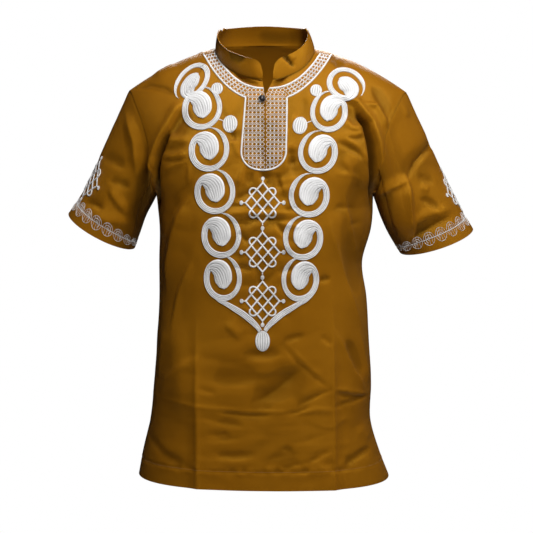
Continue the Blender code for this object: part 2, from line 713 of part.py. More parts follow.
def border_path():
    """The outer border, from the left shoulder down to the bib, round it and up to the right shoulder."""
    steps = [lerp(0.1060, BIB_TOP_HALF + 0.0025, k / 8) for k in range(9)]
    right = [(x, band_height(x, BAND_OUTER)) for x in steps]
    for k in range(6):
        right.append((lerp(BIB_TOP_HALF, BIB_HALF, k / 5), lerp(BIB_TOP, BIB_SIDE_END, k / 5)))
    for k in range(1, 8):
        angle = math.radians(90 * k / 7)
        down = (BIB_BOTTOM - BIB_SIDE_END) * math.sin(angle)
        right.append((BIB_HALF * math.cos(angle) ** 0.85, BIB_SIDE_END + down))
    left = [(-x, z) for x, z in right[:-1]]
    path = left + [right[-1]] + right[:-1][::-1]
    return [(x + EMBROIDERY_AXIS_X, z) for x, z in path]


def build_embroidery(front_surface, thread):
    right, back, up = np.eye(3)
    frame = (-back, right, up, back)
    for side, word in ((-1, "left"), (1, "right")):
        for number, scroll in enumerate(SCROLLS):
            edges = scroll_edges(scroll, side)
            if number > 0:
                edges = clear_of_previous(edges, SCROLLS[number - 1], side)
            flat, faces = ribbon(edges[0], edges[1], 2)
            raised_object(f"scroll_{word}_{number + 1}", flat, faces, front_surface, frame, thread)
        build_tail(side, word, front_surface, frame, thread)
        dot = [oval((EMBROIDERY_AXIS_X + side * DOT["out"], DOT["z"]), DOT["radius"], DOT["radius"], 14)]
        raised_polygons(f"dot_{word}", dot, front_surface, frame, thread)
        middle = (EMBROIDERY_AXIS_X + side * OVAL["out"], OVAL["z"])
        egg = [oval(middle, OVAL["half_width"], OVAL["half_height"], 16)]
        raised_polygons(f"oval_{word}", egg, front_surface, frame, thread)
        line = strip(neck_line(side), LINE_WIDTH)
        flat, faces = ribbon(line[0], line[1], 1)
        raised_object(f"neck_line_{word}", flat, faces, front_surface, frame, thread)
    border = strip(border_path(), LINE_WIDTH)
    flat, faces = ribbon(border[0], border[1], 1)
    raised_object("bib_border", flat, faces, front_surface, frame, thread)
    drop = [oval((EMBROIDERY_AXIS_X, DROP["z"]), DROP["half_width"], DROP["half_height"], 18)]
    raised_polygons("drop", drop, front_surface, frame, thread)
    for number, z in enumerate(KNOT_CENTRES_Z):
        below = "bud" if z == KNOT_CENTRES_Z[-1] else "stem"
        knot = knot_polygons((EMBROIDERY_AXIS_X, z), KNOT_HALF_WIDTH, KNOT_HALF_HEIGHT, below)
        raised_polygons(f"knot_front_{number + 1}", knot, front_surface, frame, thread)


def build_tail(side, word, surface, frame, thread):
    """The ribbon from under the last scroll down to the drop."""
    line = np.array([(EMBROIDERY_AXIS_X + side * row["out"], row["z"]) for row in TAIL_STATIONS])
    widths = np.array([row["width"] for row in TAIL_STATIONS])
    along = unit(np.gradient(line, axis=0))
    across = np.stack([-along[:, 1], along[:, 0]], axis=1) * (widths / 2)[:, None]
    flat, faces = ribbon(line + across, line - across, 1)
    raised_object(f"tail_{word}", flat, faces, surface, frame, thread)


def raised_polygons(name, polygons, surface, frame, material):
    flat, faces = union_of(polygons)
    raised_object(name, flat, faces, surface, frame, material)


def surface_of(points, faces, normals, out):
    """A surface to lay embroidery on: the outer skin of a wall."""
    outer = points + normals * out
    return BVHTree.FromPolygons([Vector(p) for p in outer], [tuple(map(int, f)) for f in faces])


def turned_object(name, profile, sides, place, normal, material):
    """A solid turned from a profile of (radius, height) about a normal."""
    side_a = unit(np.cross(normal, np.array([0.0, 0.0, 1.0])))
    side_b = np.cross(normal, side_a)
    bm = bmesh.new()
    rings = []
    for radius, height in profile:
        if radius == 0:
            rings.append([bm.verts.new(place + normal * height)])
            continue
        ring = []
        for k in range(sides):
            angle = 2 * math.pi * k / sides
            spoke = side_a * math.cos(angle) + side_b * math.sin(angle)
            ring.append(bm.verts.new(place + normal * height + spoke * radius))
        rings.append(ring)
    for low, high in zip(rings[:-1], rings[1:]):
        for k in range(sides):
            j = (k + 1) % sides
            corners = [low[k % len(low)], low[j % len(low)], high[j % len(high)], high[k % len(high)]]
            bm.faces.new(list(dict.fromkeys(corners)))
    bmesh.ops.recalc_face_normals(bm, faces=bm.faces)
    mesh = bpy.data.meshes.new(name)
    bm.to_mesh(mesh)
    bm.free()
    mesh.materials.append(material)
    mesh.shade_smooth()
    mesh.set_sharp_from_angle(angle=math.radians(50))
    obj = bpy.data.objects.new(name, mesh)
    bpy.context.scene.collection.objects.link(obj)
    return obj


def build_button(surface, plastic, thread):
    hit, normal, _, _ = surface.ray_cast(Vector((BUTTON_AT[0], -1.0, BUTTON_AT[1])), Vector((0, 1, 0)))
    place, normal = np.array(hit), np.array(normal)
    r = BUTTON_RADIUS
    profile = [(0, 0.0004), (0.0022, 0.0004), (0.0022, 0.0020), (r * 0.8, 0.0020), (r, 0.0026), (r, 0.0034)]
    profile += [(r * 0.86, 0.0043), (r * 0.55, 0.0050), (r * 0.25, 0.0053), (0, 0.0054)]
    turned_object("button", profile, 20, place, normal, plastic)
    side_a = unit(np.array([1.0, 0.0, 0.0]) - normal * normal[0])
    side_b = np.cross(side_a, normal)
    path = []
    for k in range(13):
        angle = math.radians(lerp(-78, 78, k / 12))
        flare = 1.0 + 0.25 * abs(math.sin(angle)) ** 3
        spot = place + side_a * 0.0066 * math.cos(angle) * flare + side_b * 0.0062 * math.sin(angle)
        path.append(spot + normal * (LOOP_CORD_RADIUS + 0.0009))
    sides = 6
    points = []
    for k, p in enumerate(path):
        along = unit(path[min(k + 1, 12)] - path[max(k - 1, 0)])
        flat_side = unit(np.cross(along, normal))
        for j in range(sides):
            angle = 2 * math.pi * j / sides
            points.append(p + (flat_side * math.cos(angle) + normal * math.sin(angle)) * LOOP_CORD_RADIUS)
    faces = []
    for k in range(len(path) - 1):
        for j in range(sides):
            a, b = k * sides + j, k * sides + (j + 1) % sides
            faces.append((a, b, b + sides, a + sides))
    faces.append(tuple(range(sides))[::-1])
    faces.append(tuple(range((len(path) - 1) * sides, len(path) * sides)))
    bm = bmesh.new()
    verts = [bm.verts.new(p) for p in points]
    for f in faces:
        bm.faces.new([verts[i] for i in f])
    bmesh.ops.recalc_face_normals(bm, faces=bm.faces)
    mesh = bpy.data.meshes.new("button_loop")
    bm.to_mesh(mesh)
    bm.free()
    mesh.materials.append(thread)
    mesh.shade_smooth()
    obj = bpy.data.objects.new("button_loop", mesh)
    bpy.context.scene.collection.objects.link(obj)


def build_sleeve_knot(sleeve, side, word, thread):
    """The knot near the outer line of a sleeve, laid on it square to the cloth there."""
    knot = SLEEVE_KNOTS[side]
    surface = surface_of(sleeve["points"], sleeve["faces"], sleeve["normals"], WALL / 2)
    count = len(sleeve["rim"])
    top = len(sleeve["up"]) - 1
    ring_point = sleeve["points"][top]
    rim_point = sleeve["rim"][top]
    centre = lerp(sleeve["points"][:count].mean(axis=0), sleeve["rim"].mean(axis=0), knot["down"])
    along = unit(rim_point - ring_point)
    out = lerp(ring_point, rim_point, knot["down"]) - centre
    out = unit(out - along * np.dot(out, along))
    turn = math.radians(knot["toward_front_deg"])
    forward = np.cross(along, out)
    forward *= -np.sign(forward[1])
    view = -unit(out * math.cos(turn) + forward * math.sin(turn))
    across = unit(np.cross(view, -along))
    frame = (centre - view * 0.30, across, -along, view)
    polygons = knot_polygons((0.0, 0.0), KNOT_HALF_WIDTH, KNOT_HALF_HEIGHT)
    raised_polygons(f"knot_sleeve_{word}", polygons, surface, frame, thread)


def main():
    for obj in list(bpy.data.objects):
        bpy.data.objects.remove(obj, do_unlink=True)
    cloth = make_material("mustard satin cloth", (0.30, 0.115, 0.010), 0.5)
    thread = make_material("white embroidery thread", (0.80, 0.79, 0.77), 0.45)
    plastic = make_material("dark brown plastic", (0.022, 0.013, 0.008), 0.18)
    loop_thread = make_material("brown loop thread", (0.20, 0.10, 0.04), 0.6)

    front, back = build_panel(-1), build_panel(1)
    sleeves = {side: build_sleeve(front, back, side) for side in (-1, 1)}
    collar = build_collar(front, back)

    for panel, face in ((front, -1), (back, 1)):
        walls = panel["normals"]
        for side, sleeve in sleeves.items():
            count = len(sleeve["up"])
            if face < 0:
                walls[sleeve["up"]] = sleeve["wall"][:count]
            else:
                down = sleeve["down"]
                walls[down[1:-1]] = sleeve["wall"][count:]
                walls[down[0]] = sleeve["wall"][count - 1]
                walls[down[-1]] = sleeve["wall"][0]
        for seam in seam_vertices(panel):
            walls[seam, 1] = 0.0
        walls[:] = unit(walls)
    share_neck_walls(front, back, collar)

    for name, panel in (("front", front), ("back", back)):
        inward = np.full(len(panel["points"]), WALL / 2)
        inward[panel["index"][:2].ravel()] = HEM_WALL_IN
        shell_object(name, panel["points"], panel["faces"], panel["normals"], WALL / 2, inward, cloth)
    for side, word in ((-1, "left"), (1, "right")):
        s = sleeves[side]
        shell_object(f"sleeve_{word}", s["points"], s["faces"], s["normals"], WALL / 2, s["inward"], cloth)
        build_sleeve_knot(s, side, word, thread)
    shell_object("collar", collar["points"], collar["faces"], collar["normals"], WALL / 2, WALL / 2, cloth)

    front_surface = surface_of(front["points"], front["faces"], front["normals"], WALL / 2)
    build_embroidery(front_surface, thread)
    build_button(front_surface, plastic, loop_thread)


def seam_vertices(panel):
    """The side and shoulder seams of a panel, where front and back share one wall direction."""
    low = sum(1 for row in panel["rows"] if row[0] == "low") - 1
    last = len(COLUMN_ANGLES) - 1
    top = panel["index"][-1]
    sides = [*panel["index"][:low, 0], *panel["index"][:low, -1]]
    shoulders = list(top[1 : last - NECK_COLUMN + 1]) + list(top[last + 1 + NECK_COLUMN : -1])
    return [sides, shoulders]


def share_neck_walls(front, back, collar):
    """Gives the panels' neck edges the same wall direction as the collar's base."""
    right, around, left = collar["groups"]
    walls = collar["wall"][::4]
    front["normals"][right] = walls[: len(right)]
    back["normals"][around] = walls[len(right) : len(right) + len(around)]
    front["normals"][left] = walls[len(right) + len(around) :]
    last = len(COLUMN_ANGLES) - 1
    behind = back["index"][-1]
    back["normals"][behind[last + 1 + NECK_COLUMN]] = walls[len(right) - 1]
    back["normals"][behind[last - NECK_COLUMN]] = walls[len(right) + len(around)]
    if front["index"][-1][last] == front["index"][-1][last + 1]:
        raise ValueError("the slit must reach the neck edge")


main()
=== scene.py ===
import math
from itertools import product

import bpy
import numpy as np
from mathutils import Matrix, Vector, noise
from mathutils.bvhtree import BVHTree


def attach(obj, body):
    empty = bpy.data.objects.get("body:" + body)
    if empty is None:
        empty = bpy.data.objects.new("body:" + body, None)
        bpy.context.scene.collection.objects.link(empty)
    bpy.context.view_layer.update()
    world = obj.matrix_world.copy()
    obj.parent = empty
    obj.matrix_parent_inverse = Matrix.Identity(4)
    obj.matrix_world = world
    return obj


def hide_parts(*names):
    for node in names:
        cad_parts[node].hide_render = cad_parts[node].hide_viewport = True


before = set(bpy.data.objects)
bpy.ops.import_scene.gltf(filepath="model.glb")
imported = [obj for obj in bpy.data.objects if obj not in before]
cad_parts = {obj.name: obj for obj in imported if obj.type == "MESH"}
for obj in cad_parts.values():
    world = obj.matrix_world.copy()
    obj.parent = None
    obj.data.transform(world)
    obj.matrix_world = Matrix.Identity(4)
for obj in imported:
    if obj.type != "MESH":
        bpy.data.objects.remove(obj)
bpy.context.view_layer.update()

# A dashiki shirt in mustard satin cotton with white corded embroidery, filled out as when worn.
# Metres, +Z up, the front faces -Y, and the origin is the middle of the neck base.

# Helpers that make objects, materials and shader nodes

def addObject(name, data, place=(0, 0, 0), turn=(0, 0, 0)):
    made = bpy.data.objects.new(name, data)
    made.location, made.rotation_euler = place, turn
    bpy.context.scene.collection.objects.link(made)
    return made


def addNode(tree, kind, inputs, **settings):
    # a node with its settings, and a value or a link for each input
    node = tree.nodes.new("ShaderNode" + kind)
    for name, value in settings.items():
        setattr(node, name, value)
    fillInputs(tree, node, inputs)
    return node


def fillInputs(tree, node, inputs):
    for name, value in inputs.items():
        if isinstance(value, bpy.types.NodeSocket):
            tree.links.new(value, node.inputs[name])
        else:
            node.inputs[name].default_value = value


def newMaterial(name):
    material = bpy.data.materials.new(name)
    material.use_nodes = True
    return material, material.node_tree, material.node_tree.nodes["Principled BSDF"]


# Studio

studio = {
    "cameraPlace": (0.0026, -2.1, -0.2295),
    "cameraTilt": 86.22,
    "lens": 83.4,
    "floorHeight": -1.5,
    "floorHalf": 1.1,
    "backdropGlow": 1.0,
    "roomGlow": 0.009,
    # place, size, power and colour of each soft light
    "lights": [
        ("top light", (0.5, -0.75, 1.5), 0.3, 20, (1.0, 0.998, 0.99)),
        ("side light", (1.9, -1.0, 0.6), 0.3, 4, (1.0, 0.99, 0.97)),
        ("near light", (0.25, -1.15, 0.55), 0.3, 14.5, (1.0, 1.0, 1.0)),
        ("far light", (-0.9, -1.0, 1.6), 0.3, 3, (1.0, 1.0, 1.0)),
        ("low light", (0.25, -1.2, -0.5), 0.3, 0.6, (1.0, 1.0, 1.0)),
        ("back light", (0.15, 2.4, 1.2), 1.0, 42, (1.0, 0.99, 0.98)),
    ],
    "aim": (0.0, 0.0, -0.33),
}


def makeStudio():
    view = bpy.context.scene
    view.view_settings.view_transform = "Standard"
    lensData = bpy.data.cameras.new("camera")
    lensData.lens = studio["lens"]
    view.camera = addObject("camera", lensData, studio["cameraPlace"], (math.radians(studio["cameraTilt"]), 0, 0))
    for name, place, size, power, colour in studio["lights"]:
        data = bpy.data.lights.new(name, "AREA")
        data.shape, data.size, data.energy, data.color = "DISK", size, power, colour
        toAim = Vector(studio["aim"]) - Vector(place)
        addObject(name, data, place, toAim.to_track_quat("-Z", "Y").to_euler())
    # white behind the shirt, but little light from it
    world = bpy.data.worlds.new("room")
    world.use_nodes = True
    view.world = world
    tree = world.node_tree
    tree.nodes.clear()
    glow, shine = (addNode(tree, "Background", {"Strength": studio[name], "Color": (1, 1, 1, 1)}).outputs[0]
                   for name in ("roomGlow", "backdropGlow"))
    seen = addNode(tree, "LightPath", {}).outputs["Is Camera Ray"]
    mixed = addNode(tree, "MixShader", {0: seen, 1: glow, 2: shine}).outputs[0]
    addNode(tree, "OutputWorld", {"Surface": mixed})
    # plain pale floor well below the hem
    half, z = studio["floorHalf"], studio["floorHeight"]
    mesh = bpy.data.meshes.new("floor")
    mesh.from_pydata([(-half, -half, z), (half, -half, z), (half, half, z), (-half, half, z)], [], [(0, 1, 2, 3)])
    paint, tree, shader = newMaterial("pale floor")
    fillInputs(tree, shader, {"Base Color": (0.9, 0.9, 0.9, 1), "Roughness": 0.8})
    mesh.materials.append(paint)
    floor = addObject("floor", mesh)
    print("studio: camera, lights, floor")


# Helpers for points, lines and meshes

def lerp(a, b, t):
    return a + (b - a) * t


def unit(v):
    return v / np.maximum(np.linalg.norm(v, axis=-1, keepdims=True), 1e-12)


def smoothStep(t):
    t = np.clip(t, 0.0, 1.0)
    return t * t * (3 - 2 * t)


def bell(t):
    return np.exp(-(t**2))


def runOf(line):
    # how far along a line of points each of them is
    return np.concatenate([[0], np.cumsum(np.linalg.norm(np.diff(line, axis=0), axis=1))])


def smoothTable(places, values, at):
    # a smooth curve through the rows of a table
    places, values = np.asarray(places, float), np.asarray(values, float)
    if places[0] > places[-1]:
        places, values = places[::-1], values[::-1]
    slopes = np.gradient(values, places)
    at = np.asarray(at, float)
    i = np.clip(np.searchsorted(places, at) - 1, 0, len(places) - 2)
    step = places[i + 1] - places[i]
    t = np.clip((at - places[i]) / step, 0.0, 1.0)
    start = (2 * t**3 - 3 * t**2 + 1) * values[i] + (t**3 - 2 * t**2 + t) * step * slopes[i]
    end = (3 * t**2 - 2 * t**3) * values[i + 1] + (t**3 - t**2) * step * slopes[i + 1]
    return start + end


def column(rows, number):
    return [row[number] for row in rows]


def gridFaces(index):
    # quads of a grid of vertex numbers, rows by columns
    corners = index[:-1, :-1], index[:-1, 1:], index[1:, 1:], index[1:, :-1]
    return np.stack(corners, axis=-1).reshape(-1, 4)


def tubeFaces(rows, count):
    # quads round a tube of rows of points
    index = np.arange(rows * count).reshape(rows, count)
    return gridFaces(np.concatenate([index, index[:, :1]], axis=1))


def cappedTube(rows, count):
    ends = [list(range(count))[::-1], list(range((rows - 1) * count, rows * count))]
    return tubeFaces(rows, count).tolist() + ends


def faceOut(faces, places, normals):
    # the faces of a strip, turned over if they look into the cloth
    look = np.cross(places[0, 1] - places[0, 0], places[1, 0] - places[0, 0])
    return [face[::-1] for face in faces] if np.dot(look, normals[0, 0]) < 0 else faces


def faceNormals(points, faces):
    diagonalA = points[faces[:, 2]] - points[faces[:, 0]]
    diagonalB = points[faces[:, 3]] - points[faces[:, 1]]
    return np.cross(diagonalA, diagonalB)


def vertexNormals(points, faces):
    normals = np.zeros_like(points)
    perFace = faceNormals(points, faces)
    for corner in range(faces.shape[1]):
        np.add.at(normals, faces[:, corner], perFace)
    return unit(normals)


def closedShell(points, faces, normals, thickness):
    # cloth with a thickness: the outer skin, an inner skin, and walls along the open edges
    count = len(points)
    inner = points - normals * np.broadcast_to(thickness, (count,))[:, None]
    starts = faces.reshape(-1)
    ends = np.roll(faces, -1, axis=1).reshape(-1)
    forward = starts.astype(np.int64) * (count + 1) + ends
    backward = ends.astype(np.int64) * (count + 1) + starts
    openEdge = ~np.isin(forward, backward)
    a, b = starts[openEdge], ends[openEdge]
    walls = np.stack([b, a, a + count, b + count], axis=1)
    allFaces = np.concatenate([faces, faces[:, ::-1] + count, walls])
    return np.concatenate([points, inner]), allFaces


def addMesh(name, points, faces, material, slot, sharpAngle, **numbers):
    # a mesh object on the shirt's one body, with per-point numbers for its material
    mesh = bpy.data.meshes.new(name)
    mesh.from_pydata(np.asarray(points, float).tolist(), [], faces)
    mesh.materials.append(material)
    for key, value in numbers.items():
        kind, field = ("FLOAT_VECTOR", "vector") if value.ndim > 1 else ("FLOAT", "value")
        layer = mesh.attributes.new(key, kind, "POINT")
        layer.data.foreach_set(field, value.astype(np.float32).reshape(-1))
    mesh.shade_smooth()
    mesh.set_sharp_from_angle(angle=math.radians(sharpAngle))
    mesh.update()
    piece = addObject(name, mesh)
    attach(piece, "root")
    return piece


def addShell(name, points, faces, normals, weave, tone, thickness):
    # a piece of cloth with its thickness; its inner side gets the painted shade of the outer side turned the other
    # way
    points, faces = closedShell(points, faces, normals, thickness)
    return addMesh(name, points, faces.tolist(), clothMaterial, "cloth", 60,
                   weave=np.concatenate([weave, weave]), fold=np.concatenate([tone, 1 - tone]))


class MeshBasket:
    # gathers many small closed shapes into one mesh
    def __init__(self):
        self.faces, self.parts, self.count = [], [], 0

    def add(self, points, faces, vectors, values):
        self.faces += [tuple(int(i) + self.count for i in face) for face in faces]
        self.parts.append((points, vectors, values))
        self.count += len(points)

    def piece(self, name, material, slot):
        points, vectors, values = (np.concatenate(part) for part in zip(*self.parts))
        return addMesh(name, points, self.faces, material, slot, 75, along=vectors, ridge=values)


# The body of the shirt

body = {
    "armpitZ": -0.245,
    "sectionPower": 2.4,
    "meanSection": (0.182, 0.128),
    "neckHalfWidth": 0.083,
    "neckFrontDrop": 0.060,
    "neckBackRise": 0.010,
    "neckAngle": 16.65,
    "shoulderSlope": {-1: 0.264, 1: 0.240},
    "shoulderCurve": 1.5,
    "shoulderHalfWidth": {-1: 0.230, 1: 0.240},
    # power of the swell from the armpit up, its reach, and its ease beyond the shoulder tip
    "armholeSwell": 0.6,
    "swellReach": 0.175,
    "tipEase": 0.012,
    # how far the form rises above the neck line, at the front and the back
    "topEase": {-1: 0.006, 1: 0.030},
    "slitEndZ": -0.195,
    "slitOpenZ": -0.084,
    "slitTopX": {-1: -0.0040, 1: 0.0135},
    "slitX": {-1: -0.0005, 1: 0.0005},
    "slitReach": 0.031,
    "slitClosing": 0.04,
    # where the loop pulls the edge of the slit: below its opening, reach and width
    "slitPull": (0.0175, 0.0020, 0.0009),
    "cloth": 0.0008,
    "hemDepth": 0.030,
    "hemTilt": 0.010,
    # depth of the stitched groove above the hem, and swell of the hem below it
    "hemGroove": (0.0008, 0.0005),
    "seamDip": 0.0009,
    # rows over which the cloth eases between the armpits, and how many times it is smoothed
    "easeRows": 12,
    "easeTimes": 60,
    # how much painted shade darkens the seams, the neck line and the front below it
    "shades": (0.8, 0.45, 0.35),
    # how much darker the cloth is behind the bib's threads; half width, bottom and top there
    "bibShade": (0.16, 0.036, -0.208, -0.085),
    # height, half-width to the left and right, depth to the front and back
    "sections": [
        (-0.245, 0.1836, 0.1836, 0.130, 0.134),
        (-0.300, 0.1785, 0.1800, 0.132, 0.130),
        (-0.357, 0.1795, 0.1650, 0.128, 0.122),
        (-0.420, 0.1795, 0.1728, 0.124, 0.116),
        (-0.490, 0.1832, 0.1770, 0.124, 0.118),
        (-0.560, 0.1890, 0.1812, 0.127, 0.124),
        (-0.630, 0.1965, 0.1806, 0.131, 0.131),
        (-0.680, 0.2082, 0.1952, 0.136, 0.136),
        (-0.722, 0.2160, 0.2118, 0.139, 0.140),
    ],
    # up the armhole, and the share of the way out to the shoulder tip
    "armhole": [(0, 0), (0.1, 0.05), (0.25, 0.14), (0.4, 0.36), (0.6, 0.66), (0.8, 0.86), (0.9, 0.94),
                (0.96, 0.968), (1, 0.972)],
    # fineness: columns inside the neck, columns out to the side, rows below and above the armpit
    "frontGrid": (24, 68, 158, 104),
    "backGrid": (14, 40, 80, 54),
}


def sectionTable(number, z):
    return smoothTable(column(body["sections"], 0), column(body["sections"], number), z)


def halfWidth(z, side):
    return np.where(np.asarray(side) < 0, sectionTable(1, z), sectionTable(2, z))


def sectionDepth(z, face):
    return sectionTable(3 if face < 0 else 4, z)


def shoulderHeight(x):
    beyond = np.maximum(np.abs(x) - body["neckHalfWidth"], 0.0)
    slope = np.where(np.asarray(x) < 0, body["shoulderSlope"][-1], body["shoulderSlope"][1])
    return -slope * beyond - body["shoulderCurve"] * beyond**2


def neckHeight(x, face):
    across = np.minimum(np.abs(x) / body["neckHalfWidth"], 1.0)
    curve = np.sqrt(1 - across**2)
    return -body["neckFrontDrop"] * curve if face < 0 else body["neckBackRise"] * curve


def bodyDepth(x, z, side, face):
    # how far the smooth body stands from the middle plane
    armpit, power = body["armpitZ"], body["sectionPower"]
    inNeck = np.minimum(np.abs(x) / body["neckHalfWidth"], 1.0)
    top = shoulderHeight(x) + body["topEase"][face] * (1 - inNeck**4)
    up = np.clip((z - armpit) / (top - armpit), 0.0, 1.0)
    lift = np.sqrt(1 - up**2)
    swell = np.clip((z - armpit) / body["swellReach"], 0.0, 1.0) ** body["armholeSwell"]
    tips = body["shoulderHalfWidth"]
    tip = np.where(np.asarray(side) < 0, tips[-1], tips[1]) + body["tipEase"]
    reachUp = lerp(halfWidth(armpit, side), tip, swell)
    low = z <= armpit
    reach = np.where(low, halfWidth(np.minimum(z, armpit), side), reachUp)
    deep = sectionDepth(np.minimum(z, armpit), face)
    inside = np.maximum(1 - np.minimum(np.abs(x) / reach, 1.0) ** power, 0.0)
    return face * deep * inside ** (1 / power) * np.where(low, 1.0, lift)


def slitEdge(z, side):
    opened = np.clip((z - body["slitOpenZ"]) / (-body["neckFrontDrop"] - body["slitOpenZ"]), 0.0, 1.0)
    closing = smoothStep((z - body["slitEndZ"]) / body["slitClosing"])
    below, reach, width = body["slitPull"]
    pulled = width * bell((z - body["slitOpenZ"] + below) / reach)
    return lerp(body["slitX"][side] * closing + side * pulled, body["slitTopX"][side], opened)


def evenAngles(neckColumns, sideColumns):
    # angles round a section at even steps of cloth, with a column at the neck point
    power = body["sectionPower"]
    wide, deep = body["meanSection"]
    fine = np.radians(np.linspace(0, 90, 2001))
    run = runOf(np.stack([wide * np.sin(fine) ** (2 / power), deep * np.cos(fine) ** (2 / power)], axis=1))
    neckRun = np.interp(math.radians(body["neckAngle"]), fine, run)
    toNeck = np.linspace(0, neckRun, neckColumns + 1)
    places = np.concatenate([toNeck, np.linspace(neckRun, run[-1], sideColumns + 1)[1:]])
    angles = np.degrees(np.interp(places, run, fine))
    angles[0], angles[neckColumns], angles[-1] = 0.0, body["neckAngle"], 90.0
    return angles


def panelPlaces(face, angles, lowRows, upRows):
    # the smooth panel as two blocks of points, left and right, rows from the hem up
    power, armpit = body["sectionPower"], body["armpitZ"]
    across = np.sin(np.radians(angles))[None, :] ** (2 / power)
    neckShare = math.sin(math.radians(body["neckAngle"])) ** (2 / power)
    hem = body["sections"][-1][0]
    lowZ = np.linspace(hem, armpit, lowRows + 1)[:, None]
    value = (np.arange(1, upRows + 1) / upRows)[:, None]
    blocks = {}
    for side in (-1, 1):
        lowX = side * across * halfWidth(lowZ, side)
        # the hem hangs a little lower on the right
        lowHeights = lowZ - body["hemTilt"] * lowX * ((lowZ - armpit) / (hem - armpit)) ** 3
        out = smoothTable(column(body["armhole"], 0), column(body["armhole"], 1), value)
        edge = lerp(halfWidth(armpit, side), body["shoulderHalfWidth"][side], out)
        neckNow = lerp(neckShare * edge, body["neckHalfWidth"], value**2)
        # toward the neck ring the columns bunch up at the neck point, where the ring turns
        ratio = np.minimum(across / neckShare, 1.0)
        inner = lerp(ratio, np.sin(ratio * math.pi / 2), value**3) * neckNow
        outer = lerp(neckNow, edge, (across - neckShare) / (1 - neckShare))
        upX = side * np.where(across <= neckShare, inner, outer)
        inNeck = angles[None, :] < body["neckAngle"] - 0.01
        top = np.where(inNeck, neckHeight(upX, face), shoulderHeight(upX))
        upZ = lerp(armpit, top, np.sin(value * math.pi / 2))
        x = np.concatenate([lowX, upX])
        z = np.concatenate([lowHeights, upZ])
        if face < 0:
            # the columns near the middle are squeezed to make room for the slit
            split = z[:, :1] > body["slitEndZ"]
            reach = body["slitReach"]
            near = side * slitEdge(z, side)
            squeezed = near + np.abs(x) * (reach - near) / reach
            x = np.where(split & (np.abs(x) < reach), side * squeezed, x)
        y = bodyDepth(x, z, side, face)
        y[-1, angles >= body["neckAngle"] - 0.01] = 0.0
        y[:, -1] = np.where(np.arange(len(y)) <= lowRows, 0.0, y[:, -1])
        blocks[side] = np.stack([x, y, z], axis=-1)
    return blocks


# Folds, in millimetres: kind, half width, rise (+) or dip (-), lean, and then x and z of each point of the
# line, seen from the front. Lean widens one flank and steepens the other. A line fades out toward its ends.

